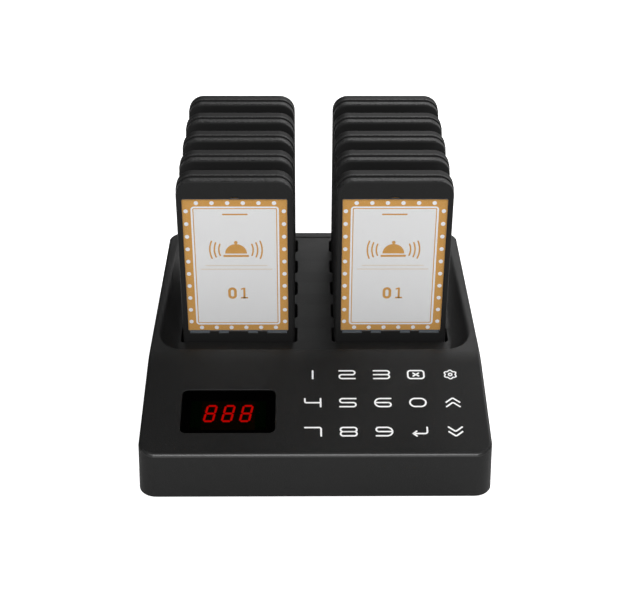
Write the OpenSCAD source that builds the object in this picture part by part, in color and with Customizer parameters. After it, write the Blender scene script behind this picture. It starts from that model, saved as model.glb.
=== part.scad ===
// Desk transmitter and charging base with ten guest pagers.
// Lengths are in millimetres and angles in degrees. +Z is up and the keys face -Y.
// The origin is on the table, under the middle of the whole set.

/* [Base] */
// Width of the base at the foot of its walls
base_w = 175.2; // [173:0.1:184]
// Depth of the base at the foot of its walls
base_d = 204; // [202:0.1:212]
// Lean of the outer walls from upright
draft = 2; // [0.5:0.5:3]
// Corner radius seen from above
corner_r = 9; // [7:0.5:11]
// Rounding along the top edges
edge_r = 2.2; // [1.4:0.1:3]
// Wall thickness of the moulded housing
wall = 2.4; // [2:0.1:2.8]
// Height of the housing's lower edge above the table
foot_h = 2.2; // [1.6:0.1:3]
// Height of the front wall
front_h = 27.6; // [26:0.1:30]
// Height of the ridge behind the keys
ridge_h = 43.4; // [42.4:0.1:45]
// Distance from the front edge of the deck to the ridge
ridge_back = 63.3; // [61:0.1:65]
// Radius of the bend along the ridge
ridge_r = 45; // [20:1:60]
// Height of the back edge
back_h = 39; // [38.6:0.1:40.5]

/* [Recess] */
// Height of the recess floor above the table
floor_h = 37; // [36.4:0.1:37.6]
// Width of the rim beside the recess
rim_w = 5.3; // [4.6:0.1:6]
// Width of the lip behind the recess
lip_w = 5; // [3:0.1:6]
// Distance from the first pocket to the front of the recess
apron = 15.2; // [13:0.1:16]
// Plan radius of the front corners of the recess
recess_r = 11; // [9:0.5:13]
// Hollow of the side scoops at the front of the recess
scoop_r = 6.8; // [5:0.1:8]
// Hollow of the side scoops at the back of the recess
scoop_back_r = 2.6; // [2:0.1:3.4]

/* [Charging pockets] */
// Pagers in each column
rows = 5; // [3:1:5]
// Distance of each column from the middle
column_x = 40.4; // [40:0.1:41]
// Distance from the front wall to the middle of the first pager
first_row = 92.4; // [92:0.1:93.4]
// Distance from the back wall to the middle of the last pager
last_row = 18; // [17.2:0.1:20]
// Depth of a pocket below the recess floor
pocket_depth = 12; // [10:0.5:13]
// Clearance beside a pager in its pocket
side_gap = 1.1; // [0.6:0.1:1.4]
// Clearance before and behind a pager in its pocket
face_gap = 0.5; // [0.3:0.1:0.8]
// Wall thickness round a pocket
pocket_wall = 1.6; // [1.2:0.1:1.9]
// Thickness of a pocket's floor
pocket_floor = 1.8; // [1.4:0.1:2.2]
// Corner radius of a pocket
pocket_r = 2; // [1:0.1:3]
// Distance between a pager's two charging pins
pin_pitch = 16; // [12:0.5:20]

/* [Pager] */
// Width of a pager
pager_w = 59.6; // [58:0.1:60.4]
// Height of a pager
pager_h = 108.2; // [106:0.1:112]
// Thickness of a pager
pager_t = 13.4; // [13:0.1:14]
// Corner radius of a pager's face
pager_r = 8.5; // [6:0.5:10]
// Thickness of the rear shell
rear_t = 7.5; // [7:0.1:7.8]
// Thickness of the light ring
ring_t = 1.9; // [1.4:0.1:2.2]
// How far the light ring lies inside the shells' outline
ring_inset = 0.45; // [0.2:0.05:0.8]
// How far the front shell lies inside the rear shell's outline
front_inset = 0.4; // [0:0.1:0.6]
// Rounding round the back of the rear shell
rear_edge_r = 2.2; // [1.5:0.1:2.6]
// Rounding round the front of the front shell
front_edge_r = 1.4; // [0.8:0.1:1.8]
// Wall thickness of the pager shells
shell_wall = 1.6; // [1.2:0.1:1.8]
// Thickness of the front shell's face
face_wall = 2.4; // [2.1:0.1:2.6]

/* [Sign] */
// Width of the sign
sign_w = 53.4; // [50:0.1:54.4]
// Height of the sign
sign_h = 79.2; // [74:0.1:80]
// Height of the sign above the pager's foot
sign_up = 18.8; // [17.5:0.1:19.5]
// Corner radius of the sign
sign_r = 0.8; // [0.4:0.1:1.5]
// Thickness of the clear window over the card
sign_glass_t = 1.2; // [0.8:0.1:1.4]
// Thickness of the printed card
card_t = 0.3; // [0.2:0.05:0.4]
// Height of the window's retaining tabs
tab_h = 1.2; // [0.8:0.1:1.6]
// Width of the finger notch above the sign
notch_w = 5.4; // [4:0.1:8]

/* [Deck] */
// Width of the display window
window_w = 47; // [42:0.1:48]
// Length of the display window, up the deck
window_l = 27.6; // [24:0.1:30]
// Corner radius of the display window
window_r = 3; // [2:0.1:4]
// Distance from the side wall to the middle of the display window
window_in = 44.2; // [42.6:0.1:45.6]
// Place of the display window's middle up the deck
window_s = 27.8; // [26:0.1:30]
// Thickness of the display window
lens_t = 1.2; // [0.9:0.1:1.4]
// Width of the ledge that carries the window
lens_ledge = 2; // [1.2:0.1:2.4]
// Place of the first key across the deck
first_key_x = -1.2; // [-4:0.1:0]
// Distance from the side wall to the middle of the last key
last_key_x = 18.4; // [17.6:0.1:22]
// Place of the middle key up the deck
key_s = 33; // [31:0.1:34]
// Distance between keys up the deck
key_pitch_s = 18.5; // [16:0.1:18.8]

/* [Display] */
// Width of the display module
module_w = 38; // [32:0.1:41]
// Length of the display module, up the deck
module_l = 18; // [15:0.1:21]
// Depth of the display module
module_t = 7; // [6:0.1:8]
// Height of a digit
digit_h = 10.8; // [9:0.1:12]
// Width of a digit
digit_w = 5.5; // [4.5:0.1:6]
// Distance between digits
digit_pitch = 9; // [8:0.1:10]
// Width of a lit segment
segment_w = 1.25; // [0.9:0.05:1.5]
// Lean of the digits
digit_lean = 10; // [0:1:12]

/* [Back] */
// Place of the power inlet across the back
inlet_x = -18; // [-24:1:-14]
// Place of the power switch across the back
switch_x = 18; // [14:1:24]
// Height of the inlet and the switch above the table
back_port_h = 14.6; // [14.3:0.1:15]
// Bore of the power inlet
inlet_bore = 5.6; // [5:0.1:6.2]
// Width of the power switch's bezel
bezel_w = 15; // [14.5:0.1:17]
// Height of the power switch's bezel
bezel_h = 10.5; // [10.2:0.1:12]
// Tilt of the rocker to each side of level
rocker_tilt = 9; // [6:1:11]

/* [Inside] */
// Thickness of the base plate
plate_t = 2.4; // [2:0.1:3]
// Thickness of the circuit boards
board_t = 1.6; // [1.2:0.2:2]
// Radius of the housing's screw bosses
boss_r = 3.4; // [3:0.1:4]
// Radius of a housing screw's shank
screw_r = 1.35; // [1.1:0.05:1.5]
// Radius of a rubber foot
foot_r = 6.5; // [5:0.1:8]
// Depth to which a foot is let into the base plate
foot_seat = 1; // [0.6:0.1:1.4]

/* [Hidden] */
// Clearance of loose fits, gap between pieces that lie on each other, and overcut of holes
fit = 0.2;
seat = 0.05;
over = 1;
$fn = 48;
COLUMNS = ["l", "r"];
PAGERS = [for (c = [0, 1], k = [1:rows]) str("pager_", COLUMNS[c], k)];

black = [0.09, 0.09, 0.092];
dark = [0.14, 0.14, 0.145];
board_green = [0.1, 0.33, 0.2];
steel = [0.7, 0.7, 0.72];
gold = [0.83, 0.66, 0.3];

// --- where the walls of the base are ---
// the rocker's high edge stands out behind the foot of the back wall
rocker_r = 6.3;
rocker_h = 8;
rocker_edge_x = 5.2;
rocker_edge_y = 3.6;
rocker_valley_y = 2.6;
rocker_depth = 3;
bezel_t = 1.4;
rocker_tip = bezel_t - rocker_depth + rocker_edge_y * cos(rocker_tilt) + rocker_edge_x * sin(rocker_tilt);
port_lean = (back_port_h - foot_h) * tan(draft);
switch_proud = rocker_tip * cos(draft) + rocker_h / 2 * sin(draft) - port_lean;
front_y = -(base_d + switch_proud) / 2;

function front_at(z) = front_y + (z - foot_h) * tan(draft);
function back_at(z) = front_y + base_d - (z - foot_h) * tan(draft);
function half_at(z) = base_w / 2 - (z - foot_h) * tan(draft);

// --- the top line of the base, from the side ---
deck_y = front_at(front_h);
ridge_y = deck_y + ridge_back;
back_y = back_at(back_h);
deck_a = atan2(ridge_h - front_h, ridge_back);
fall_a = atan2(ridge_h - back_h, back_y - ridge_y);
bend = ridge_r * tan((deck_a + fall_a) / 2);
bend_y = ridge_y - bend * cos(deck_a) + ridge_r * sin(deck_a);
bend_z = ridge_h - bend * sin(deck_a) - ridge_r * cos(deck_a);

function deck_z(y) = front_h + (y - deck_y) * tan(deck_a);
function rim_z(y) = back_h + (back_y - y) * tan(fall_a);

// --- recess and pockets ---
first_y = front_y + first_row;
slot_w = pager_w + 2 * side_gap;
slot_l = pager_t + 2 * face_gap;
recess_half = half_at(ridge_h) - rim_w;
recess_front = first_y - slot_l / 2 - apron;
recess_back = back_y - lip_w;
recess_back_r = 7;
pocket_z = floor_h - pocket_depth;
pocket_under = pocket_z - pocket_floor;
row_pitch = (base_d - first_row - last_row) / (rows - 1);
pin_y = pager_t / 2 - rear_t / 2;

// --- window and keys ---
window_x = -(base_w / 2 - window_in);
key_columns = 5;
key_rows = 3;
key_pitch_x = (base_w / 2 - last_key_x - first_key_x) / (key_columns - 1);
key_drop = key_pitch_s / 2;
function key_at(i) = first_key_x + i * key_pitch_x;

// --- inside ---
plate_z = foot_h;
plate_top = plate_z + plate_t;
boss_x = base_w / 2 - wall - boss_r - 2.3;
boss_ys = [front_y + 13.3, front_y + base_d / 2, front_y + base_d - 13.3];
charge_gap = 1.2;
charge_top = pocket_under - charge_gap;
charge_w = 2 * (column_x - 12.3);
charge_front = first_y - 10;
charge_back = first_y + (rows - 1) * row_pitch + 9;
charge_post_r = 2.1;
charge_post_xs = [-20, 20];
charge_post_rows = [0, rows - 2];
panel_drop = lens_t + 0.3 + module_t;
panel_left = -(base_w / 2 - 17.6);
panel_right = base_w / 2 - 12.2;
panel_low = 7;
panel_high = 60;
panel_edge = 4;
panel_posts = [
  [panel_left + panel_edge, 48],
  [panel_left + panel_edge, 11],
  [first_key_x - 13.8, 10.5],
  [key_at(1.5), key_s + key_drop],
  [key_at(3.5), key_s + key_drop]
];
post_r = 2.5;
post_hole_r = 1.05;
board_screw_r = 1;
board_head_r = 2.1;
board_head_h = 1.4;
main_half = 60;
main_l = 61;
main_back = front_y + base_d - 15.6;
main_front = main_back - main_l;
standoff_h = 3;
standoff_r = 3;
main_z = plate_top + standoff_h;
main_top = main_z + board_t;
main_posts = [
  [-main_half + 5, main_front + 5],
  [main_half - 5, main_front + 5],
  [-main_half + 5, main_back - 12],
  [main_half - 5, main_back - 12]
];
// what stands on the main board: sizes, and places from its front edge
processor = [12, 12, 1.6];
processor_x = 18;
processor_y = 22;
memory = [6, 8, 1.6];
memory_x = 34;
memory_y = 24;
capacitor_r = 4;
capacitor_h = 7.5;
capacitor_x = -18;
capacitor_pitch = 11;
capacitor_y = 39;
socket = [10, 6, 7];
socket_x = main_half - 8;
socket_y = 35;
cable_socket = [16, 5, 2.5];
cable_socket_y = 8;
radio = [18, 26, 1];
radio_x = -46;
radio_y = 14;
radio_can = [14, 18, 2];
radio_can_y = 18;
aerial_r = 0.8;
aerial_l = 40;
buzzer_r = 6;
buzzer_h = 7;
buzzer_x = main_half - 16;
buzzer_y = 49;
// what stands on a pager's board, and heights above the pager's foot
pager_board_w = pager_w - 2 * shell_wall - 6.4;
pager_board_t = 1;
pager_board_up = 3;
cell = [34, 4.2, 44];
cell_up = 34;
motor_r = 5;
motor_t = 3;
motor_up = 92;
chip = [8, 1.2, 8];
chip_up = 20;
lamp = 2;
lamp_t = 1.6;
lamp_ups = [14, 40, 68, 94];
pad_r = 2.1;
pad_up = 0.3;
// holes round the base's pins and the pager's pads
pin_hole_r = 1.4;
pad_hole_r = pad_r + 0.2;
boss_reach = 60;
cable_w = 12;
cable_t = 0.5;

// ---------- shared shapes ----------

// upright prism with round corners, standing on z = 0
module round_plate(w, l, h, r) {
  union() {
    translate([-w / 2 + r, -l / 2, 0]) cube([w - 2 * r, l, h]);
    translate([-w / 2, -l / 2 + r, 0]) cube([w, l - 2 * r, h]);
    for (sx = [-1, 1], sy = [-1, 1])
      translate([sx * (w / 2 - r), sy * (l / 2 - r), 0]) cylinder(h = h, r = r);
  }
}

// half section of a plate's rounded border
module border_section(h, r, edge) {
  union() {
    square([r - edge, h]);
    square([r, h - edge]);
    translate([r - edge, h - edge]) circle(r = edge);
  }
}

// plate with round corners whose top edge is rounded all the way round
module soft_plate(w, l, h, r, edge) {
  union() {
    for (i = [0:3]) {
      sx = (i == 0 || i == 3) ? 1 : -1;
      sy = i < 2 ? 1 : -1;
      translate([sx * (w / 2 - r), sy * (l / 2 - r), 0])
        rotate([0, 0, 90 * i]) rotate_extrude(angle = 90) border_section(h, r, edge);
    }
    for (i = [0:3]) {
      run = i % 2 == 0 ? l : w;
      out = i % 2 == 0 ? w : l;
      rotate([0, 0, 90 * i]) translate([out / 2 - r, run / 2 - r, 0])
        rotate([90, 0, 0]) linear_extrude(run - 2 * r) border_section(h, r, edge);
    }
    translate([-(w / 2 - r), -(l / 2 - r), 0]) cube([w - 2 * r, l - 2 * r, h]);
  }
}

// puts children on the deck: x across, s up the slope from the front edge, local +Z out of the deck
module on_deck(x, s) {
  translate([x, deck_y + s * cos(deck_a), front_h + s * sin(deck_a)]) rotate([deck_a, 0, 0]) children();
}

// puts children on the back wall: local +Y out of the wall
module on_back(x, z) {
  translate([x, back_at(z), z]) rotate([draft, 0, 0]) children();
}

// puts children at a pager's foot: local origin at the middle of its lowest face
module at_pager(c, k) {
  translate([(c == 0 ? -1 : 1) * column_x, first_y + k * row_pitch, pocket_z]) children();
}

// stands a plate drawn flat up on its long edge: local z becomes the direction towards the front (-Y)
module stand_up(y) {
  translate([0, y, 0]) rotate([90, 0, 0]) children();
}

// ---------- base housing ----------

// centre of a ball on the top edge's corner round, at angle a from the side
function corner_ball(sx, sy, a, inset, ball) =
  let (
    arc = corner_r - inset - ball,
    off = inset + ball,
    y = sy < 0 ? front_at(front_h) + corner_r - arc * sin(a) : back_at(back_h) - corner_r + arc * sin(a),
    z = sy < 0 ? deck_z(y) - off / cos(deck_a) : rim_z(y) - off / cos(fall_a)
  )
  [sx * (half_at(z) - corner_r + arc * cos(a)), y, z];

// centre of a ball beside the ridge's bend, at lean a from upright
function ridge_ball(sx, a, inset, ball) =
  let (z = bend_z + (ridge_r - inset - ball) * cos(a))
  [sx * (half_at(z) - inset - ball), bend_y - (ridge_r - inset - ball) * sin(a), z];

// the whole body of the base, drawn in by inset, with a rounding of ball along its top edges
module base_body(inset, ball, low, fine) {
  hull() {
    for (sx = [-1, 1]) {
      for (sy = [-1, 1], a = [0:18:90])
        translate(corner_ball(sx, sy, a, inset, ball)) sphere(r = ball, $fn = fine);
      for (i = [0:4]) {
        a = deck_a - i * (deck_a + fall_a) / 4;
        translate(ridge_ball(sx, a, inset, ball)) sphere(r = ball, $fn = fine);
      }
      for (sy = [-1, 1])
        translate([
          sx * (half_at(low) - corner_r),
          sy < 0 ? front_at(low) + corner_r : back_at(low) - corner_r,
          low
        ])
          cylinder(h = 0.2, r = corner_r - inset, $fn = 32);
    }
  }
}

// round-bottomed dish, the corner piece of the recess
module dish(r, hollow) {
  rotate_extrude($fn = 32)
    polygon(concat(
      [[0, 0]],
      [for (a = [0:15:90]) [r - hollow + hollow * sin(a), hollow * (1 - cos(a))]],
      [[r, 30], [0, 30]]
    ));
}

// the recess behind the ridge, grown by skin where it carries the floor
module recess(skin) {
  hull() {
    for (sx = [-1, 1]) {
      translate([sx * (recess_half - recess_r), recess_front + recess_r, floor_h - skin])
        dish(recess_r + skin, scoop_r + skin);
      translate([sx * (recess_half - recess_back_r), recess_back - recess_back_r, floor_h - skin])
        dish(recess_back_r + skin, scoop_back_r + skin);
    }
  }
}

module each_pocket() {
  for (c = [0, 1], k = [0:rows - 1]) at_pager(c, k) children();
}

module charge_posts(r, low, high) {
  for (c = [-1, 1], px = charge_post_xs, k = charge_post_rows)
    translate([c * column_x + px, first_y + (k + 0.5) * row_pitch, low])
      cylinder(h = high - low, r = r, $fn = 24);
}

// what stays solid inside the hollow of the housing
module housing_inside() {
  recess(wall);
  each_pocket() translate([0, 0, -pocket_floor])
    round_plate(slot_w + 2 * pocket_wall, slot_l + 2 * pocket_wall, pocket_depth, pocket_r + pocket_wall);
  for (sx = [-1, 1], y = boss_ys)
    translate([sx * boss_x, y, plate_top]) cylinder(h = boss_reach, r = boss_r);
  charge_posts(charge_post_r, charge_top, floor_h);
  for (p = panel_posts)
    on_deck(p[0], p[1]) translate([0, 0, -panel_drop]) cylinder(h = panel_drop, r = post_r);
}

module top_housing() {
  color(black) difference() {
    base_body(0, edge_r, foot_h, 16);
    difference() {
      base_body(wall, 0.6, foot_h - 1, 8);
      housing_inside();
    }
    recess(0);
    each_pocket() round_plate(slot_w, slot_l, pocket_depth + over, pocket_r);
    each_pocket() for (s = [-1, 1])
      translate([s * pin_pitch / 2, pin_y, -pocket_floor - over])
        cylinder(h = pocket_floor + 2 * over, r = pin_hole_r);
    on_deck(window_x, window_s) translate([0, 0, -lens_t])
      round_plate(window_w, window_l, lens_t + over, window_r);
    on_deck(window_x, window_s) translate([0, 0, -wall - 2 * over])
      round_plate(window_w - 2 * lens_ledge, window_l - 2 * lens_ledge, wall + 3 * over, window_r - 1);
    for (sx = [-1, 1], y = boss_ys) translate([sx * boss_x, y, plate_top - 0.5])
      cylinder(h = 10, r = screw_r + 0.05);
    charge_posts(post_hole_r, charge_top - 0.5, charge_top + 5);
    for (p = panel_posts) on_deck(p[0], p[1]) translate([0, 0, -panel_drop - 0.5])
      cylinder(h = 5, r = post_hole_r);
    translate([inlet_x, back_at(back_port_h) - wall - over, back_port_h]) rotate([-90, 0, 0])
      cylinder(h = wall + 2 * over, r = inlet_bore / 2 + 1.4);
    on_back(switch_x, back_port_h) translate([-bezel_w / 2 + 0.8, -wall - over, -bezel_h / 2 + 0.6])
      cube([bezel_w - 1.6, wall + 2 * over, bezel_h - 1.2]);
  }
}

module base_plate() {
  inner = wall + fit + 0.1;
  color(black) difference() {
    union() {
      translate([0, front_y + base_d / 2, plate_z])
        round_plate(base_w - 2 * inner, base_d - 2 * inner, plate_t, corner_r - inner);
      for (p = main_posts) translate([p[0], p[1], plate_top]) cylinder(h = standoff_h, r = standoff_r);
    }
    for (sx = [-1, 1], y = boss_ys) translate([sx * boss_x, y, plate_z - over]) {
      cylinder(h = plate_t + 2 * over, r = screw_r + 0.15);
      cylinder(h = over + 1.6, r = 2 * screw_r + 0.2);
    }
    for (p = foot_places()) translate([p[0], p[1], plate_z - over])
      cylinder(h = over + foot_seat, r = foot_r + 0.1);
    for (p = main_posts) translate([p[0], p[1], plate_top - 1.6])
      cylinder(h = standoff_h + 1.6 + over, r = post_hole_r);
    for (sx = [-1, 1], i = [-3:3]) translate([sx * 42 - 13, front_y + 62 + 4.5 * i, plate_z - over])
      cube([26, 1.8, plate_t + 2 * over]);
  }
}

function foot_places() = [
  for (sx = [-1, 1], sy = [-1, 1])
    [sx * (base_w / 2 - 22), front_y + base_d / 2 + sy * (base_d / 2 - 24)]
];

module housing_screws() {
  color(steel) for (sx = [-1, 1], y = boss_ys) translate([sx * boss_x, y, plate_z + 0.1]) difference() {
    union() {
      cylinder(h = 1.5, r = 2 * screw_r);
      cylinder(h = plate_t + 7.5, r = screw_r);
    }
    translate([0, 0, -over]) {
      translate([-0.35, -1.6, 0]) cube([0.7, 3.2, over + 0.8]);
      translate([-1.6, -0.35, 0]) cube([3.2, 0.7, over + 0.8]);
    }
  }
}

module rubber_feet() {
  color([0.06, 0.06, 0.06]) for (p = foot_places()) translate([p[0], p[1], 0]) union() {
    cylinder(h = 0.6, r1 = foot_r - 0.6, r2 = foot_r);
    translate([0, 0, 0.6]) cylinder(h = plate_z + foot_seat - 0.6, r = foot_r);
  }
}

// ---------- deck ----------

module display_window() {
  color([0.02, 0.02, 0.02, 0.9]) on_deck(window_x, window_s) translate([0, 0, -lens_t])
    round_plate(window_w - 0.2, window_l - 0.2, lens_t, window_r - 0.1);
}

module display_module() {
  color(dark) on_deck(window_x, window_s) translate([-module_w / 2, -module_l / 2, -panel_drop])
    cube([module_w, module_l, module_t]);
}

// one bar of a digit, from a to b, leaning with the digit
function lean(p) = [p[0] + (p[1] - digit_h / 2) * tan(digit_lean), p[1]];
module bar(a, b) {
  along = (b - a) / norm(b - a);
  side = [-along[1], along[0]];
  h = segment_w / 2;
  gap = 0.18;
  p = a + along * gap;
  q = b - along * gap;
  polygon([
    for (v = [p, p + (along + side) * h, q + (side - along) * h,
              q, q - (side + along) * h, p + (along - side) * h])
      lean(v)
  ]);
}

module digit() {
  x0 = segment_w / 2;
  x1 = digit_w - segment_w / 2;
  y0 = segment_w / 2;
  y1 = digit_h / 2;
  y2 = digit_h - segment_w / 2;
  for (s = [
    [[x0, y0], [x1, y0]], [[x0, y1], [x1, y1]], [[x0, y2], [x1, y2]],
    [[x0, y0], [x0, y1]], [[x0, y1], [x0, y2]], [[x1, y0], [x1, y1]], [[x1, y1], [x1, y2]]
  ])
    linear_extrude(0.2) bar(s[0], s[1]);
}

module display_segments() {
  color([0.9, 0.05, 0.02]) on_deck(window_x, window_s) translate([-digit_w / 2, -digit_h / 2, -lens_t - 0.3])
    for (i = [-1, 0, 1]) translate([i * digit_pitch, 0, 0]) {
      digit();
      translate([digit_w + 0.3, segment_w / 2, 0]) cylinder(h = 0.2, r = 0.55, $fn = 16);
    }
}

module panel_board() {
  color(board_green) union() {
    difference() {
      on_deck(0, 0) translate([panel_left, panel_low, -panel_drop - board_t])
        cube([panel_right - panel_left, panel_high - panel_low, board_t]);
      for (p = panel_posts) on_deck(p[0], p[1]) translate([0, 0, -panel_drop - board_t - over])
        cylinder(h = board_t + 2 * over, r = board_screw_r + 0.1);
    }
    on_deck(0, panel_high - 8) translate([-cable_socket[0] / 2, 0, -panel_drop - board_t - cable_socket[2]])
      cube(cable_socket);
  }
}

module touch_pads() {
  color([0.2, 0.2, 0.2]) for (i = [0:key_columns - 1], j = [0:key_rows - 1])
    on_deck(key_at(i), key_s + (j - (key_rows - 1) / 2) * key_pitch_s) translate([0, 0, -panel_drop])
      cylinder(h = panel_drop - wall - 0.15, r = 4);
}

// ---------- inside the base ----------

module charge_boards() {
  color(board_green) for (c = [-1, 1]) difference() {
    translate([c * column_x - charge_w / 2, charge_front, charge_top - board_t])
      cube([charge_w, charge_back - charge_front, board_t]);
    charge_posts(board_screw_r + 0.1, charge_top - board_t - over, charge_top + over);
  }
}

module contact_pins() {
  color(gold) each_pocket() for (s = [-1, 1])
    translate([s * pin_pitch / 2, pin_y, charge_top - pocket_z]) {
      cylinder(h = charge_gap + pocket_floor - 0.5, r = 1.1, $fn = 24);
      cylinder(h = charge_gap + pocket_floor + 0.28, r = 0.7, $fn = 24);
    }
}

module board_screw() {
  difference() {
    union() {
      cylinder(h = 6, r = board_screw_r);
      translate([0, 0, -board_head_h]) cylinder(h = board_head_h, r = board_head_r);
    }
    translate([-0.3, -1.3, -board_head_h - over]) cube([0.6, 2.6, over + 0.6]);
    translate([-1.3, -0.3, -board_head_h - over]) cube([2.6, 0.6, over + 0.6]);
  }
}

module board_screws() {
  color(steel) {
    for (c = [-1, 1], px = charge_post_xs, k = charge_post_rows)
      translate([c * column_x + px, first_y + (k + 0.5) * row_pitch, charge_top - board_t]) board_screw();
    for (p = panel_posts) on_deck(p[0], p[1]) translate([0, 0, -panel_drop - board_t]) board_screw();
    for (p = main_posts) translate([p[0], p[1], main_top]) mirror([0, 0, 1]) board_screw();
  }
}

module main_board() {
  color(board_green) difference() {
    translate([-main_half, main_front, main_z]) cube([2 * main_half, main_back - main_front, board_t]);
    for (p = main_posts) translate([p[0], p[1], main_z - over])
      cylinder(h = board_t + 2 * over, r = board_screw_r + 0.1);
  }
}

// puts children on the main board, y from its front edge
module on_main(x, y) {
  translate([x, main_front + y, main_top]) children();
}

module board_parts() {
  color([0.12, 0.12, 0.13]) {
    on_main(processor_x, processor_y) cube(processor);
    on_main(memory_x, memory_y) cube(memory);
    for (i = [0:2]) on_main(capacitor_x + i * capacitor_pitch, capacitor_y)
      cylinder(h = capacitor_h, r = capacitor_r);
    on_main(-cable_socket[0] / 2, cable_socket_y) cube(cable_socket);
    for (c = [-1, 1]) on_main(c * socket_x - socket[0] / 2, socket_y) cube(socket);
  }
}

// the aerial is a rod that runs forward from the shielded part
module radio_module() {
  can_x = radio_x + (radio[0] - radio_can[0]) / 2;
  color([0.75, 0.76, 0.78]) {
    on_main(radio_x, radio_y) cube(radio);
    on_main(can_x, radio_can_y) translate([0, 0, radio[2]]) cube(radio_can);
    on_main(can_x, radio_can_y - 2) translate([0, 0, radio[2] + aerial_r]) rotate([-90, 0, 180])
      cylinder(h = aerial_l, r = aerial_r, $fn = 24);
  }
}

module buzzer() {
  color([0.05, 0.05, 0.05]) on_main(buzzer_x, buzzer_y) difference() {
    cylinder(h = buzzer_h, r = buzzer_r);
    translate([0, 0, buzzer_h - 1.5]) cylinder(h = over + 1.5, r = 1.1);
  }
}

// follows the hollow of the base from the panel board's socket to the main board's
function cable_path() = [
  [deck_y + (panel_high - 5.5) * cos(deck_a) + (panel_drop + board_t + cable_socket[2]) * sin(deck_a),
    front_h + (panel_high - 5.5) * sin(deck_a) - (panel_drop + board_t + cable_socket[2]) * cos(deck_a)],
  [ridge_y + 8, 20],
  [ridge_y + 22, 14.5],
  [main_front - 8, 14.5],
  [main_front + 10.5, main_top + cable_socket[2]]
];

module flat_cable() {
  path = cable_path();
  n = len(path);
  color([0.85, 0.85, 0.82]) translate([-cable_w / 2, 0, 0]) rotate([90, 0, 90])
    linear_extrude(cable_w) polygon(concat(
      path,
      [for (i = [n - 1:-1:0]) path[i] + (i == n - 1 ? [cable_t, 0] : i == 0 ? [cable_t, 0] : [0, cable_t])]
    ));
}

// ---------- back ----------

module power_inlet() {
  body_w = inlet_bore + 3.4;
  body_l = 13;
  top = back_port_h + inlet_bore / 2 + 2;
  inner_y = back_at(back_port_h) - wall - 0.6;
  color([0.05, 0.05, 0.05]) translate([inlet_x, 0, 0]) union() {
    difference() {
      union() {
        translate([-body_w / 2, inner_y - body_l, main_top]) cube([body_w, body_l, top - main_top]);
        translate([0, inner_y - over, back_port_h]) rotate([-90, 0, 0])
          cylinder(h = over + wall + 0.3, r = inlet_bore / 2 + 1.1);
      }
      translate([0, inner_y - 8, back_port_h]) rotate([-90, 0, 0]) cylinder(h = 20, r = inlet_bore / 2);
    }
    translate([0, inner_y - 8.5, back_port_h]) rotate([-90, 0, 0]) cylinder(h = 9, r = 1, $fn = 24);
  }
}

module rocker_axis() {
  on_back(switch_x, back_port_h) translate([0, bezel_t - rocker_depth, 0]) children();
}

module switch_housing() {
  body_l = 10;
  color([0.05, 0.05, 0.05]) difference() {
    union() {
      on_back(switch_x, back_port_h) translate([-bezel_w / 2, 0, -bezel_h / 2])
        cube([bezel_w, bezel_t, bezel_h]);
      on_back(switch_x, back_port_h) translate([-bezel_w / 2 + 1, -body_l, -bezel_h / 2 + 0.8])
        cube([bezel_w - 2, body_l, bezel_h - 1.6]);
      on_back(switch_x, back_port_h) for (s = [-1, 1]) translate([s * 3.5 - 0.4, -body_l - 3, -2])
        cube([0.8, 3 + over, 4]);
    }
    rocker_axis() translate([0, 0, -rocker_h / 2 - 0.2]) cylinder(h = rocker_h + 0.4, r = rocker_r + 0.3);
    rocker_axis() translate([0, 0, -rocker_h / 2 - 0.75]) cylinder(h = rocker_h + 1.5, r = 0.85, $fn = 24);
  }
}

module switch_rocker() {
  color([0.04, 0.04, 0.04]) rocker_axis() rotate([0, 0, rocker_tilt]) union() {
    intersection() {
      translate([0, 0, -rocker_h / 2]) cylinder(h = rocker_h, r = rocker_r);
      translate([0, 0, -rocker_h / 2]) linear_extrude(rocker_h) polygon([
        [-rocker_edge_x, -rocker_r],
        [rocker_edge_x, -rocker_r],
        [rocker_edge_x, rocker_edge_y],
        [0, rocker_valley_y],
        [-rocker_edge_x, rocker_edge_y]
      ]);
    }
    translate([0, 0, -rocker_h / 2 - 0.6]) cylinder(h = rocker_h + 1.2, r = 0.8, $fn = 24);
  }
}

// ---------- pagers ----------

module rear_shell() {
  inner_w = pager_w - 2 * shell_wall;
  inner_h = pager_h - 2 * shell_wall;
  color(black) difference() {
    translate([0, 0, pager_h / 2]) translate([0, pager_t / 2 - rear_t, 0]) rotate([-90, 0, 0])
      soft_plate(pager_w, pager_h, rear_t, pager_r, rear_edge_r);
    translate([0, pager_t / 2 - rear_t - over, pager_h / 2]) rotate([-90, 0, 0])
      round_plate(inner_w, inner_h, rear_t + over - shell_wall, pager_r - shell_wall);
    for (s = [-1, 1])
      translate([s * pin_pitch / 2, pin_y, -over]) cylinder(h = shell_wall + 2 * over, r = pad_hole_r);
  }
  color(black) for (s = [-1, 1], z = [12, pager_h - 12])
    translate([s * (pager_w / 2 - 10), pin_y + 0.5, z]) rotate([-90, 0, 0])
      cylinder(h = pager_t / 2 - shell_wall - pin_y - 0.5, r = 1.8, $fn = 24);
  color([0.2, 0.2, 0.2]) translate([0, pager_t / 2 - rear_t - seat, pager_h / 2]) rotate([90, 0, 0])
    difference() {
    round_plate(pager_w - 2 * ring_inset, pager_h - 2 * ring_inset, ring_t - 2 * seat, pager_r - ring_inset);
    translate([0, 0, -over])
      round_plate(inner_w - 0.8, inner_h - 0.8, ring_t + 2 * over, pager_r - shell_wall);
  }
}

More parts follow.
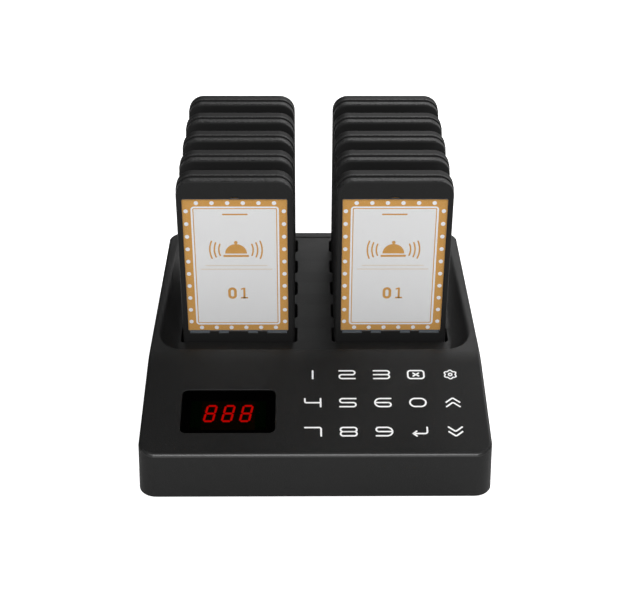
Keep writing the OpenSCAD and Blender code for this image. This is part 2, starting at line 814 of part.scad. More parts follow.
// the front shell is drawn face up, from its back face, and stood up
module front_shell() {
  sign_top = sign_up + sign_h - pager_h / 2;
  front_t = pager_t - rear_t - ring_t;
  inner_w = pager_w - 2 * (shell_wall + front_inset);
  inner_h = pager_h - 2 * (shell_wall + front_inset);
  color(black) translate([0, 0, pager_h / 2]) stand_up(pager_t / 2 - rear_t - ring_t) difference() {
    soft_plate(pager_w - 2 * front_inset, pager_h - 2 * front_inset, front_t,
               pager_r - front_inset, front_edge_r);
    translate([0, 0, -over])
      round_plate(inner_w, inner_h, front_t - face_wall + over, pager_r - shell_wall - front_inset);
    translate([0, sign_up + sign_h / 2 - pager_h / 2, front_t - sign_glass_t - card_t])
      round_plate(sign_w, sign_h, sign_glass_t + card_t + over, sign_r);
    for (t = sign_tabs()) translate([t[0] - t[1] / 2, sign_up - pager_h / 2 - tab_h, front_t - sign_glass_t])
      cube([t[1], tab_h + over, sign_glass_t + over]);
    intersection() {
      translate([0, sign_top - notch_w + 1.1, front_t - 0.9]) cylinder(h = 0.9 + over, r = notch_w);
      translate([-notch_w / 2, sign_top - 1, front_t - 0.9]) cube([notch_w, 3, 0.9 + over]);
    }
  }
}

// middle and width of each retaining tab
function sign_tabs() = [[-20.5, 10.8], [-7.75, 5.6], [7.75, 5.6], [20.5, 10.8]];

module sign() {
  slack = 0.1;
  mid = sign_up + sign_h / 2;
  color([0.93, 0.8, 0.5]) translate([0, 0, mid]) stand_up(-pager_t / 2 + sign_glass_t + card_t)
    round_plate(sign_w - 2 * slack, sign_h - 2 * slack, card_t - seat, sign_r - slack);
  color([0.9, 0.9, 0.9, 0.4]) translate([0, 0, mid]) stand_up(-pager_t / 2 + sign_glass_t) union() {
    round_plate(sign_w - 2 * slack, sign_h - 2 * slack, sign_glass_t, sign_r - slack);
    for (t = sign_tabs()) translate([t[0] - t[1] / 2 + slack, -sign_h / 2 - tab_h + slack, 0])
      cube([t[1] - 2 * slack, tab_h + 1, sign_glass_t]);
  }
}

// board, cell, vibration motor, processor, lamps and charging pads
module works() {
  face = pin_y - pager_board_t / 2 - seat;
  pad_h = pager_board_up - pad_up - seat;
  color(board_green) translate([-pager_board_w / 2, face + seat, pager_board_up])
    cube([pager_board_w, pager_board_t, pager_h - 2 * pager_board_up]);
  color([0.75, 0.75, 0.78]) translate([-cell[0] / 2, face - cell[1], cell_up]) cube(cell);
  color(steel) translate([0, face, motor_up]) rotate([90, 0, 0]) cylinder(h = motor_t, r = motor_r);
  color([0.1, 0.1, 0.1]) translate([-chip[0] / 2, face - chip[1], chip_up]) cube(chip);
  color([0.95, 0.95, 0.9]) for (s = [-1, 1], z = lamp_ups)
    translate([s * (pager_board_w / 2 - 1.5) - lamp / 2, face - lamp_t, z]) cube([lamp, lamp_t, lamp_t]);
  color(gold) for (s = [-1, 1]) translate([s * pin_pitch / 2, pin_y, pad_up])
    cylinder(h = pad_h, r = pad_r, $fn = 32);
}

// ---------- nodes ----------

top_housing();
base_plate();
housing_screws();
rubber_feet();
display_window();
display_module();
display_segments();
panel_board();
touch_pads();
charge_boards();
contact_pins();
board_screws();
main_board();
board_parts();
radio_module();
buzzer();
power_inlet();
switch_housing();
switch_rocker();
flat_cable();
for (c = [0, 1], k = [0:rows - 1]) {
  name = str("pager_", COLUMNS[c], k + 1);
  at_pager(c, k) rear_shell();
  at_pager(c, k) front_shell();
  at_pager(c, k) sign();
  at_pager(c, k) works();
}
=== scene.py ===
# Guest pager set: a desk transmitter with a charging base and ten pagers.
# Lengths in the dictionaries are millimetres, the meshes are metres.
import math

import bmesh
import bpy
from mathutils import Matrix, Vector
from mathutils.geometry import delaunay_2d_cdt


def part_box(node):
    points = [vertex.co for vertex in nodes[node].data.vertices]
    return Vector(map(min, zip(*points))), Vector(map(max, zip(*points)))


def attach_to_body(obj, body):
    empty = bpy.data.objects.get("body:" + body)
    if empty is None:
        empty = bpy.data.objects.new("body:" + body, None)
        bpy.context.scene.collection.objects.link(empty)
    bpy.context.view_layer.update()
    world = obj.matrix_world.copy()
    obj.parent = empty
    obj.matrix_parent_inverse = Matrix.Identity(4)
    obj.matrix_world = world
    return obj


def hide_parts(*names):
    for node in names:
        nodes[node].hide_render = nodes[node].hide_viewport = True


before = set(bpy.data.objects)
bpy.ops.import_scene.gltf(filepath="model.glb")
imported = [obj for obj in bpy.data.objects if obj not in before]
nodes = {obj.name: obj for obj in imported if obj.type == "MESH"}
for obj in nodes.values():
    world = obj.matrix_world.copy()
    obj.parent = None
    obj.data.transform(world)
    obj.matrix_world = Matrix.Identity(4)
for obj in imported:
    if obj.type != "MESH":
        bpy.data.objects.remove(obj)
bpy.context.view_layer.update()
scene = bpy.context.scene
mm = 0.001
pagerKeys = [side + str(row) for side in "lr" for row in range(1, 6)]
print("frame loaded:", len(nodes), "nodes")


# Points and outlines

def nodeBox(name):
    low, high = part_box(name)
    return Vector(low) / mm, Vector(high) / mm


def roundRect(halfW, halfL, r, steps=6, cx=0.0, cy=0.0):
    # counter-clockwise, from the lower right corner
    points = []
    for sx, sy, start in ((1, -1, -90), (1, 1, 0), (-1, 1, 90), (-1, -1, 180)):
        for i in range(steps + 1):
            a = math.radians(start + 90 * i / steps)
            points.append((cx + sx * (halfW - r) + r * math.cos(a), cy + sy * (halfL - r) + r * math.sin(a)))
    return points


def circle(cx, cy, r, steps=20):
    return [(cx + r * math.cos(2 * math.pi * i / steps), cy + r * math.sin(2 * math.pi * i / steps))
            for i in range(steps)]


def arc(cx, cy, rx, ry, a0, a1, steps=8):
    return [(cx + rx * math.cos(math.radians(a0 + (a1 - a0) * i / steps)),
             cy + ry * math.sin(math.radians(a0 + (a1 - a0) * i / steps))) for i in range(steps + 1)]


def distinct(points):
    return [p for p, q in zip(points, points[-1:] + points[:-1]) if math.dist(p, q) > 1e-4]


def signedArea(points):
    return sum(a[0] * b[1] - b[0] * a[1] for a, b in zip(points, points[1:] + points[:1])) / 2


def quarter(steps):
    return [math.radians(90 * i / steps) for i in range(steps + 1)]


def closed(ring):
    # a stroke that runs round a ring, for drawPaths
    return {"ring": ring}


def plate(outline):
    # a filled shape, for drawPaths
    return {"plate": outline}


def grownOutline(points, d):
    # moves every side of a counter-clockwise outline outwards by d
    grown = []
    count = len(points)
    for i in range(count):
        a, b, c = (Vector(points[j % count]) for j in (i - 1, i, i + 1))
        before, after = (b - a).normalized(), (c - b).normalized()
        out = Vector((before.y + after.y, -before.x - after.x))
        scale = max(out.length_squared / 2, 0.25)
        grown.append(tuple(b + out * (d / scale)))
    return grown


# Meshes

class Mesher:
    # collects loops of points in millimetres and the faces between them
    def __init__(self):
        self.points, self.faces = [], []

    def loop(self, points):
        start = len(self.points)
        self.points.extend(Vector(p) for p in points)
        return list(range(start, start + len(points)))

    def bridge(self, a, b):
        count = len(a)
        for i in range(count):
            j = (i + 1) % count
            self.faces.append((a[i], a[j], b[j], b[i]))

    def chain(self, rings):
        # adds rings of points and joins each to the next
        loops = [self.loop(ring) for ring in rings]
        for a, b in zip(loops, loops[1:]):
            self.bridge(a, b)
        return loops

    def fill(self, outer, holes=(), extra=(), axes=(0, 1)):
        # flat or gently curved face between loops, seen along the axis that is left out
        ids, rings = [], []
        for ring in [outer, *holes]:
            flat = [(self.points[i][axes[0]], self.points[i][axes[1]]) for i in ring]
            ring = ring if signedArea(flat) > 0 else ring[::-1]
            rings.append(list(range(len(ids), len(ids) + len(ring))))
            ids.extend(ring)
        ids.extend(extra)
        flat = [Vector((self.points[i][axes[0]], self.points[i][axes[1]])) for i in ids]
        result = delaunay_2d_cdt(flat, [], rings, 0, 1e-7)
        for face, owners in zip(result[2], result[5]):
            if list(owners) == [0]:
                self.faces.append(tuple(ids[result[3][v][0]] for v in face))

    def cap(self, loops, axes=(0, 1)):
        self.fill(loops[0], axes=axes)
        self.fill(loops[-1], axes=axes)

    def prism(self, outline, low, high, place, holes=()):
        # upright solid over an outline, put in space by place(u, v, w)
        ends = []
        for w in (low, high):
            ends.append([self.loop([place(u, v, w) for u, v in ring]) for ring in [outline, *holes]])
        for lower, upper in zip(*ends):
            self.bridge(lower, upper)
        flat = Mesher()
        rings = [flat.loop([(u, v, 0) for u, v in ring]) for ring in [outline, *holes]]
        flat.fill(rings[0], rings[1:])
        for loops in ends:
            order = [i for ring in loops for i in ring]
            self.faces.extend(tuple(order[i] for i in face) for face in flat.faces)

    def make(self, name, sharp=35, weld=1e-6):
        mesh = bpy.data.meshes.new(name)
        mesh.from_pydata([p * mm for p in self.points], [], self.faces)
        return finished(mesh, name, sharp, weld)


def finished(mesh, name, sharp, weld):
    # closes the seams, turns the faces outwards and keeps real edges crisp
    work = bmesh.new()
    work.from_mesh(mesh)
    if weld:
        bmesh.ops.remove_doubles(work, verts=work.verts, dist=weld)
    bmesh.ops.dissolve_degenerate(work, edges=work.edges, dist=1e-8)
    bmesh.ops.recalc_face_normals(work, faces=work.faces)
    work.to_mesh(mesh)
    work.free()
    for polygon in mesh.polygons:
        polygon.use_smooth = True
    mesh.set_sharp_from_angle(angle=math.radians(sharp))
    piece = bpy.data.objects.new(name, mesh)
    scene.collection.objects.link(piece)
    return piece


def applied(piece):
    # swaps the live modifiers for their result
    depsgraph = bpy.context.evaluated_depsgraph_get()
    mesh = bpy.data.meshes.new_from_object(piece.evaluated_get(depsgraph), depsgraph=depsgraph)
    piece.modifiers.clear()
    piece.data = mesh
    return piece


def evenShade(piece):
    # big flat faces keep flat shading beside small roundings
    weighted = piece.modifiers.new("evenShade", "WEIGHTED_NORMAL")
    weighted.keep_sharp = True
    weighted.weight = 80
    return applied(piece)


def cutAway(piece, cutters):
    for cutter in cutters:
        cut = piece.modifiers.new("cut", "BOOLEAN")
        cut.operation = "DIFFERENCE"
        cut.solver = "EXACT"
        cut.object = cutter
    applied(piece)
    for cutter in cutters:
        bpy.data.objects.remove(cutter)
    return piece


def placedCopy(master, name, offset):
    mesh = master.data.copy()
    mesh.transform(Matrix.Translation(Vector(offset) * mm))
    piece = bpy.data.objects.new(name, mesh)
    scene.collection.objects.link(piece)
    return piece


def attach(piece, body, slotName, *replaced):
    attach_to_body(piece, body)
    if replaced:
        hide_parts(*replaced)
    return piece


# Shader groups

def newGroup(name, inputs, outputs):
    group = bpy.data.node_groups.new(name, "ShaderNodeTree")
    for label, default in inputs:
        socket = group.interface.new_socket(label, in_out="INPUT", socket_type="NodeSocketFloat")
        socket.default_value = default
    for label, kind in outputs:
        group.interface.new_socket(label, in_out="OUTPUT", socket_type=kind)
    return group, group.nodes.new("NodeGroupInput"), group.nodes.new("NodeGroupOutput")


def feed(tree, node, inputs):
    # gives each input its value or its link
    for label, value in inputs.items():
        if isinstance(value, bpy.types.NodeSocket):
            tree.links.new(value, node.inputs[label])
        else:
            node.inputs[label].default_value = value
    return node


def addNode(tree, kind, inputs):
    return feed(tree, tree.nodes.new(kind), inputs)


def mathNode(tree, operation, a, b):
    node = addNode(tree, "ShaderNodeMath", {0: a, 1: b})
    node.operation = operation
    return node.outputs[0]


noiseCells, pitCells = 1000.0, 700.0  # cells a metre where the grain size is 1 mm
reliefDepth = 0.0001  # metres


def buildGrainGroup():
    # spark-eroded mould texture: fine pits with a slower drift of gloss and tone
    group, start, end = newGroup(
        "mouldGrain",
        [("Grain Size", 0.35), ("Pit Depth", 1.0), ("Drift Size", 30.0), ("Tone Drift", 0.1),
         ("Speck", 0.25), ("Roughness", 0.5), ("Gloss Drift", 0.05)],
        [("Height", "NodeSocketFloat"), ("Tone", "NodeSocketFloat"), ("Roughness", "NodeSocketFloat")])
    given = start.outputs
    place = group.nodes.new("ShaderNodeTexCoord").outputs["Object"]

    def pattern(kind, cells, size, inputs):
        scale = mathNode(group, "DIVIDE", cells, given[size])
        return addNode(group, kind, {"Vector": place, "Scale": scale, **inputs})

    def times(value, label):
        return mathNode(group, "MULTIPLY", value, given[label])

    fine = pattern("ShaderNodeTexNoise", noiseCells, "Grain Size", {"Detail": 3})
    pits = pattern("ShaderNodeTexVoronoi", pitCells, "Grain Size", {"Randomness": 1})
    slow = pattern("ShaderNodeTexNoise", noiseCells, "Drift Size", {"Detail": 2})
    both = mathNode(group, "ADD", fine.outputs[0], pits.outputs["Distance"])
    specks = mathNode(group, "SUBTRACT", fine.outputs[0], 0.5)
    drift = mathNode(group, "SUBTRACT", slow.outputs[0], 0.5)
    tone = mathNode(group, "ADD", 1.0, times(drift, "Tone Drift"))
    feed(group, end, {
        "Height": times(both, "Pit Depth"),
        "Tone": mathNode(group, "ADD", tone, times(specks, "Speck")),
        "Roughness": mathNode(group, "ADD", given["Roughness"], times(drift, "Gloss Drift")),
    })
    return group


grainGroup = buildGrainGroup()


def moulded(name, color, roughness, grain=0.35, pit=1.0, bump=0.1, drift=30, tone=0.12, speck=0.25,
            gloss=0.05, specular=0.5, metallic=0.0, coat=0.0, coatRoughness=0.05, alpha=1.0, emission=None):
    material = bpy.data.materials.new(name)
    material.use_nodes = True
    tree = material.node_tree
    shader = tree.nodes["Principled BSDF"]
    texture = tree.nodes.new("ShaderNodeGroup")
    texture.node_tree = grainGroup
    feed(tree, texture, {"Grain Size": grain, "Pit Depth": pit, "Drift Size": drift, "Tone Drift": tone,
                         "Speck": speck, "Roughness": roughness, "Gloss Drift": gloss})
    tint = color if isinstance(color, tuple) else (color, color, color)
    tinted = tree.nodes.new("ShaderNodeVectorMath")
    tinted.operation = "SCALE"
    feed(tree, tinted, {0: tint, "Scale": texture.outputs["Tone"]})
    relief = addNode(tree, "ShaderNodeBump", {"Strength": bump, "Distance": reliefDepth,
                                              "Height": texture.outputs["Height"]})
    feed(tree, shader, {
        "Base Color": tinted.outputs[0], "Roughness": texture.outputs["Roughness"],
        "Normal": relief.outputs[0], "Specular IOR Level": specular, "Metallic": metallic,
        "Coat Weight": coat, "Coat Roughness": coatRoughness, "Alpha": alpha,
    })
    if emission:
        feed(tree, shader, {"Emission Color": (*emission[:3], 1), "Emission Strength": emission[3]})
    return material


# colour (one number for a grey), roughness and what differs from the defaults
finishTable = {
    "housingBlack": (0.0115, 0.5, dict(grain=0.4, bump=0.35, specular=0.3)),
    # painted highlight: a lighter, glossier black for the rolled front top edge only
    "frontEdgeHighlight": (0.018, 0.34, dict(grain=0.4, bump=0.15, specular=0.6)),
    "plateBlack": ((0.024, 0.024, 0.025), 0.62, dict(grain=0.5, bump=0.4, specular=0.3)),
    "shellBlack": (0.0135, 0.6, dict(grain=0.4, bump=0.35, specular=0.2)),
    # coarser grain, and a lighter colour that is a painted highlight on the pager rims
    "lipGrainAndSheen": (0.025, 0.5, dict(grain=0.9, bump=1.2, speck=4.5, specular=0.33)),
    "ringSmoke": (0.022, 0.5, dict(grain=0.9, bump=0.5, specular=0.3)),
    "lensBlack": (0.0003, 0.3, dict(grain=0.4, bump=0.02, tone=0.0, gloss=0.02, specular=0.0, alpha=0.5)),
    "moduleFace": ((0.0008, 0.02, 0.0005), 0.6, dict(bump=0.1, specular=0.02)),
    "maskBlack": (0.0004, 0.6, dict(bump=0.05, specular=0.02)),
    "segmentRed": ((0.2, 0.002, 0.0), 0.4, dict(bump=0.05, specular=0.05, emission=(1.0, 0.002, 0.0, 1.7))),
    # unlit decimal points with a faint painted glow
    "segmentOffGlow": ((0.02, 0.0005, 0.0), 0.4, dict(bump=0.05, specular=0.05,
                    emission=(1.0, 0.002, 0.0, 0.02))),
    "digitField": ((0.042, 0.02, 0.001), 0.6, dict(bump=0.1, specular=0.02)),
    # white print with a faint painted glow on top of its lit colour
    "legendWhiteGlow": (0.93, 0.5, dict(grain=0.2, bump=0.1, tone=0.03, specular=0.3,
                    emission=(1.0, 1.0, 1.0, 0.12))),
    "cardGold": ((0.66, 0.345, 0.09), 0.6, dict(grain=0.3, bump=0.08, tone=0.04, specular=0.05)),
    "cardWhite": (0.85, 0.6, dict(grain=0.3, bump=0.06, tone=0.03, specular=0.15)),
    "cardLine": ((0.88, 0.9, 0.94), 0.6, dict(grain=0.3, bump=0.06, tone=0.03, specular=0.15)),
    "cardFaint": ((0.78, 0.70, 0.60), 0.5, dict(grain=0.3, bump=0.06, tone=0.03, specular=0.3)),
    "clearPane": ((0.2, 0.22, 0.25), 0.12, dict(grain=0.6, bump=0.02, tone=0.0, gloss=0.02, specular=0.08,
                    alpha=0.03)),
    "clearEdge": ((0.10, 0.115, 0.13), 0.25, dict(grain=0.4, bump=0.1, specular=0.5)),
    "footRubber": (0.012, 0.8, dict(grain=0.7, bump=0.6, specular=0.25)),
    "screwSteel": ((0.55, 0.55, 0.56), 0.32, dict(grain=0.2, bump=0.15, metallic=1.0)),
    "boardGreen": ((0.02, 0.11, 0.05), 0.42, dict(grain=0.8, bump=0.2, coat=0.3)),
    "padFoam": ((0.03, 0.03, 0.032), 0.9, dict(grain=0.6, bump=0.9, specular=0.2)),
    "contactGold": ((0.75, 0.5, 0.2), 0.28, dict(grain=0.2, bump=0.1, metallic=1.0)),
    "partBlack": ((0.02, 0.02, 0.021), 0.45, dict(grain=0.3, bump=0.2)),
    "shieldSteel": ((0.6, 0.61, 0.63), 0.38, dict(grain=0.4, bump=0.2, metallic=1.0)),
    "socketBlack": (0.012, 0.45, dict(grain=0.3, bump=0.3, specular=0.35)),
    "rockerBlack": (0.012, 0.3, dict(grain=0.3, bump=0.15, specular=0.45)),
    "cableGrey": ((0.55, 0.55, 0.53), 0.55, dict(grain=0.5, bump=0.2)),
}
finishes = {name: moulded(name, color, roughness, **more)
            for name, (color, roughness, more) in finishTable.items()}
print("materials:", len(finishes))


def dress(piece, *names):
    piece.data.materials.clear()
    for name in names:
        piece.data.materials.append(finishes[name])
    return piece


# Camera, lights and stage

view = {
    "focal": 75.727, "sensor": 36.0, "place": (-5.03, -615.8, 437.39),
    "pitch": 32.116, "yaw": 0.752, "roll": 0.322,
}

lamps = {  # place and size in metres, power in watts
    "backHigh": ((0, 1.0, 0.75), (0.8, 0.4), 1.0),
    "backSide": ((0.2, 1.0, 0.6), (0.4, 0.4), 1.55),
    "backRight": ((0.9, 0.65, 0.75), (0.6, 0.5), 7.5),
    "frontHigh": ((0, -0.9, 0.9), (1.0, 0.5), 10.6),
    "frontLow": ((0, -1.2, 0.25), (1.4, 0.4), 1.9),
}
lampTarget = (0, 0, 0.05)
stage = {"reach": 3.0, "paper": 0.86, "paperRough": 0.9, "paperGloss": 0.1, "paperGlow": 0.95,
         "ambient": 0.06}


def addCamera():
    pitch, yaw, roll = (math.radians(view[key]) for key in ("pitch", "yaw", "roll"))
    ahead = Vector((math.sin(yaw) * math.cos(pitch), math.cos(yaw) * math.cos(pitch), -math.sin(pitch)))
    right = Vector((math.cos(yaw), -math.sin(yaw), 0))
    up = right.cross(ahead)
    tiltedRight = right * math.cos(roll) + up * math.sin(roll)
    tiltedUp = up * math.cos(roll) - right * math.sin(roll)
    data = bpy.data.cameras.new("camera")
    data.lens = view["focal"]
    data.sensor_width = view["sensor"]
    data.sensor_fit = "HORIZONTAL"
    data.clip_start = 0.01
    camera = bpy.data.objects.new("camera", data)
    turn = Matrix((tiltedRight, tiltedUp, -ahead)).transposed().to_4x4()
    camera.matrix_world = Matrix.Translation(Vector(view["place"]) * mm) @ turn
    scene.collection.objects.link(camera)
    scene.camera = camera


def addLamp(name, place, target, size, power):
    data = bpy.data.lights.new(name, "AREA")
    data.shape = "RECTANGLE"
    data.size, data.size_y = size
    data.energy = power
    lamp = bpy.data.objects.new(name, data)
    lamp.location = place
    lamp.rotation_euler = (Vector(target) - Vector(place)).to_track_quat("-Z", "Y").to_euler()
    scene.collection.objects.link(lamp)


def whiteForViewer(tree, ambient):
    # white where the camera looks at it, directly or through glass, and a plain level for its light
    path = tree.nodes.new("ShaderNodeLightPath")
    seen = mathNode(tree, "MAXIMUM", path.outputs["Is Camera Ray"], path.outputs["Is Transmission Ray"])
    return mathNode(tree, "MAXIMUM", seen, ambient)


def addStage():
    world = bpy.data.worlds.new("studio")
    world.use_nodes = True
    scene.world = world
    tree = world.node_tree
    feed(tree, tree.nodes["Background"], {"Color": (1, 1, 1, 1),
                                          "Strength": whiteForViewer(tree, stage["ambient"])})
    mesh = bpy.data.meshes.new("studioFloor")
    reach = stage["reach"]
    mesh.from_pydata([(-reach, -reach, 0), (reach, -reach, 0), (reach, reach, 0), (-reach, reach, 0)],
                     [], [(0, 1, 2, 3)])
    floor = bpy.data.objects.new("studioFloor", mesh)
    scene.collection.objects.link(floor)
    material = bpy.data.materials.new("paperWhite")
    material.use_nodes = True
    tree = material.node_tree
    path = tree.nodes.new("ShaderNodeLightPath")
    feed(tree, tree.nodes["Principled BSDF"], {
        "Base Color": (stage["paper"], stage["paper"], stage["paper"], 1), "Roughness": stage["paperRough"],
        "Specular IOR Level": stage["paperGloss"], "Emission Color": (1, 1, 1, 1),
        "Emission Strength": mathNode(tree, "MULTIPLY", path.outputs["Is Camera Ray"], stage["paperGlow"]),
    })
    mesh.materials.append(material)


addCamera()
addStage()
for name, (place, size, power) in lamps.items():
    addLamp(name, place, lampTarget, size, power)
scene.view_settings.view_transform = "Standard"
print("camera, lamps and floor placed")


# Base housing

base = {
    "draft": 2.0, "cornerR": 9.0, "edgeR": 1.7, "wall": 2.4, "frontH": 27.6, "ridgeH": 43.4,
    "ridgeBack": 63.3, "ridgeR": 45.0, "backH": 39.0, "edgeSteps": 6, "cornerSteps": 10,
    "footBevel": 0.35, "footEase": 0.2, "waist": 12.0,
}
hollow = {
    "floorH": 37.0, "rise": 1.8, "rim": 5.3, "lip": 5.0, "apron": 15.2, "frontR": 13.5, "backR": 7.0,
    "scoop": 6.8, "scoopBack": 2.6, "crestR": 1.3, "rimR": 4.6, "backCrestR": 0.5, "slotEdge": 0.9,
    "tail": 1.7, "roundSteps": 6, "scoopSteps": 9,
}
pocket = {"sideGap": 1.1, "faceGap": 0.5, "wall": 1.6, "floor": 1.8, "floorR": 1.0, "r": 2.0, "edge": 0.5,
          "pinHole": 1.4, "pinPitch": 16.0, "pinBack": 2.95, "padHole": 2.3}
pager = {"w": 59.6, "h": 108.2, "t": 13.4, "r": 8.5, "rear": 7.5, "ring": 1.9, "ringInset": 0.45,
         "frontInset": 0.4, "backEdge": 2.2, "frontEdge": 1.0, "wall": 1.6, "face": 2.4, "lip": 1.35}
window = {"w": 47.0, "l": 27.6, "r": 3.0, "x": -43.4, "s": 27.8, "t": 1.2, "ledge": 2.0, "slack": 0.1,
          "bevel": 0.22, "leastR": 0.8, "seenW": 37.7, "seenL": 18.6, "seenR": 0.4, "seenDrop": 1.9,
          "borderLow": 0.02, "borderHigh": 0.08}
boss = {"r": 3.4, "bore": 1.4, "inset": 2.3, "endIn": 13.3, "up": 2.4, "into": 0.6}
inlet = {"r": 4.2, "down": 4.8}
switch = {"halfW": 6.7, "halfH": 4.65, "r": 0.5, "z": 14.6}
cutReach = (3, 8)  # how far a cutter runs out of the back wall and into it
grid = {"step": 6, "bendStep": 0.9, "underStep": 1.5, "margin": 6, "frontIn": 8, "beforeBend": 4,
        "beforeRecess": 2.2, "windowGap": 1.5, "stepGap": 0.05}  # rows of points inside the top faces

footLow, footHigh = nodeBox("top_housing")
lean = math.tan(math.radians(base["draft"]))
footZ, footHalf, footFront, footBack = footLow.z, footHigh.x, footLow.y, footHigh.y
deckFront = footFront + (base["frontH"] - footZ) * lean
ridgeY = deckFront + base["ridgeBack"]
rimBack = footBack - (base["backH"] - footZ) * lean
deckAngle = math.atan2(base["ridgeH"] - base["frontH"], base["ridgeBack"])
fallAngle = math.atan2(base["ridgeH"] - base["backH"], rimBack - ridgeY)
bendReach = base["ridgeR"] * math.tan((deckAngle + fallAngle) / 2)
bendY = ridgeY - bendReach * math.cos(deckAngle) + base["ridgeR"] * math.sin(deckAngle)
bendZ = base["ridgeH"] - bendReach * math.sin(deckAngle) - base["ridgeR"] * math.cos(deckAngle)
bendFrom = bendY - base["ridgeR"] * math.sin(deckAngle)
bendTo = bendY + base["ridgeR"] * math.sin(fallAngle)


def topZ(y):
    if y < bendFrom:
        return base["frontH"] + (y - deckFront) * math.tan(deckAngle)
    if y > bendTo:
        return base["backH"] + (rimBack - y) * math.tan(fallAngle)
    return bendZ + math.sqrt(base["ridgeR"] ** 2 - (y - bendY) ** 2)


def onDeck(x, s, w):
    # x across, s up the slope from its front edge, w out of the deck
    return (x, deckFront + s * math.cos(deckAngle) - w * math.sin(deckAngle),
            base["frontH"] + s * math.sin(deckAngle) + w * math.cos(deckAngle))


def spread(a, b, step):
    count = max(1, round((b - a) / step))
    return [a + (b - a) * i / count for i in range(count + 1)]


def stations(halfW, front, back, rFront, rBack, sideYs, endXs, steps):
    # (x, y, outward x, outward y) round a box with round corners, counter-clockwise from the front left
    out = [(x, front, 0, -1) for x in endXs]
    corners = ((halfW - rFront, front + rFront, rFront, -90), (halfW - rBack, back - rBack, rBack, 0),
               (-(halfW - rBack), back - rBack, rBack, 90), (-(halfW - rFront), front + rFront, rFront, 180))
    for i, (cx, cy, r, start) in enumerate(corners):
        for k in range(steps + 1):
            a = math.radians(start + 90 * k / steps)
            out.append((cx + r * math.cos(a), cy + r * math.sin(a), math.cos(a), math.sin(a)))
        if i == 0:
            out.extend((halfW, y, 1, 0) for y in sideYs)
        if i == 1:
            out.extend((x, back, 0, 1) for x in reversed(endXs))
        if i == 2:
            out.extend((-halfW, y, -1, 0) for y in reversed(sideYs))
    return out


pagerSpots = {}
for key in pagerKeys:
    low, high = nodeBox(f"pager_{key}_rear_shell")
    pagerSpots[key] = Vector(((low.x + high.x) / 2, high.y - pager["t"] / 2, low.z))
slotHalfW = pager["w"] / 2 + pocket["sideGap"]
slotHalfL = pager["t"] / 2 + pocket["faceGap"]
recessFront = pagerSpots["l1"].y - slotHalfL - hollow["apron"]
recessBack = rimBack - hollow["lip"]
recessHalf = footHalf - (base["ridgeH"] - footZ) * lean - hollow["rim"]
stepY = recessFront - base["wall"]


def floorAt(y):
    # the recess floor climbs a little towards the back rim
    return hollow["floorH"] + hollow["rise"] * min(1, max(0, (y - recessFront) / (recessBack - recessFront)))


def outerStations():
    fine = spread(bendFrom - 1, bendTo + 1, 1.0)
    sides = (spread(footFront + base["cornerR"] + 4, fine[0] - 3, 8)
             + [y for y in fine if abs(y - stepY) > 0.4] + [stepY - grid["stepGap"], stepY + grid["stepGap"]]
             + spread(fine[-1] + 3, footBack - base["cornerR"] - 4, 8))
    ends = spread(-footHalf + base["cornerR"] + 5, footHalf - base["cornerR"] - 5, 8)
    return stations(footHalf, footFront, footBack, base["cornerR"], base["cornerR"], sorted(sides), ends,
                    base["cornerSteps"])


def wallPoint(station, z, inset=0.0):
    # a point of the leaning wall at height z, straight stretches slide along themselves
    x, y, nx, ny = station
    slide = (z - footZ) * lean
    sx = 0 if abs(nx) < 1e-9 else math.copysign(1, nx)
    sy = 0 if abs(ny) < 1e-9 else math.copysign(1, ny)
    return Vector((x - sx * slide - nx * inset, y - sy * slide - ny * inset, z))


def outerLoops(shell):
    around = outerStations()
    bevel, ease, wall = base["footBevel"], base["footEase"], base["wall"]
    rings = [[wallPoint(s, z) for s in around] for z in (footZ + bevel, base["waist"])]
    edge = base["edgeR"]
    starts = []
    for s in around:
        z = base["frontH"]
        for _ in range(3):  # settles, because the wall leans in as it rises
            z = topZ(wallPoint(s, z).y) - edge
        starts.append(z)
    for b in quarter(base["edgeSteps"]):
        ring = []
        for s, z in zip(around, starts):
            p = wallPoint(s, z, edge * (1 - math.cos(b)))
            p.z = topZ(p.y) - edge * (1 - math.sin(b))
            ring.append(p)
        rings.append(ring)
    outside = shell.chain(rings)
    rings = [[wallPoint(s, z, inset) for s in around]
             for z, inset in ((footZ + bevel, 0), (footZ, bevel), (footZ, wall - ease), (footZ + ease, wall))]
    rings.append([wallPoint(s, ceilingZ(wallPoint(s, base["frontH"], wall).y), wall) for s in around])
    return outside[-1], shell.chain(rings)[-1]


def ceilingZ(y):
    return topZ(y) - base["wall"] if y < stepY else hollow["floorH"] - base["wall"]


def hollowSlope(depth, crest, width, tail):
    # the steepest angle and the bowl radius of a crest and a bowl that fall depth in width,
    # where the bowl ends still sloping by tail
    def bowlR(steep):
        return (depth - crest * (1 - math.cos(steep))) / (math.cos(tail) - math.cos(steep))

    low, high = tail + 0.01, math.radians(88)
    for _ in range(40):
        mid = (low + high) / 2
        if crest * math.sin(mid) + bowlR(mid) * (math.sin(mid) - math.sin(tail)) > width:
            low = mid
        else:
            high = mid
    return mid, bowlR(mid)


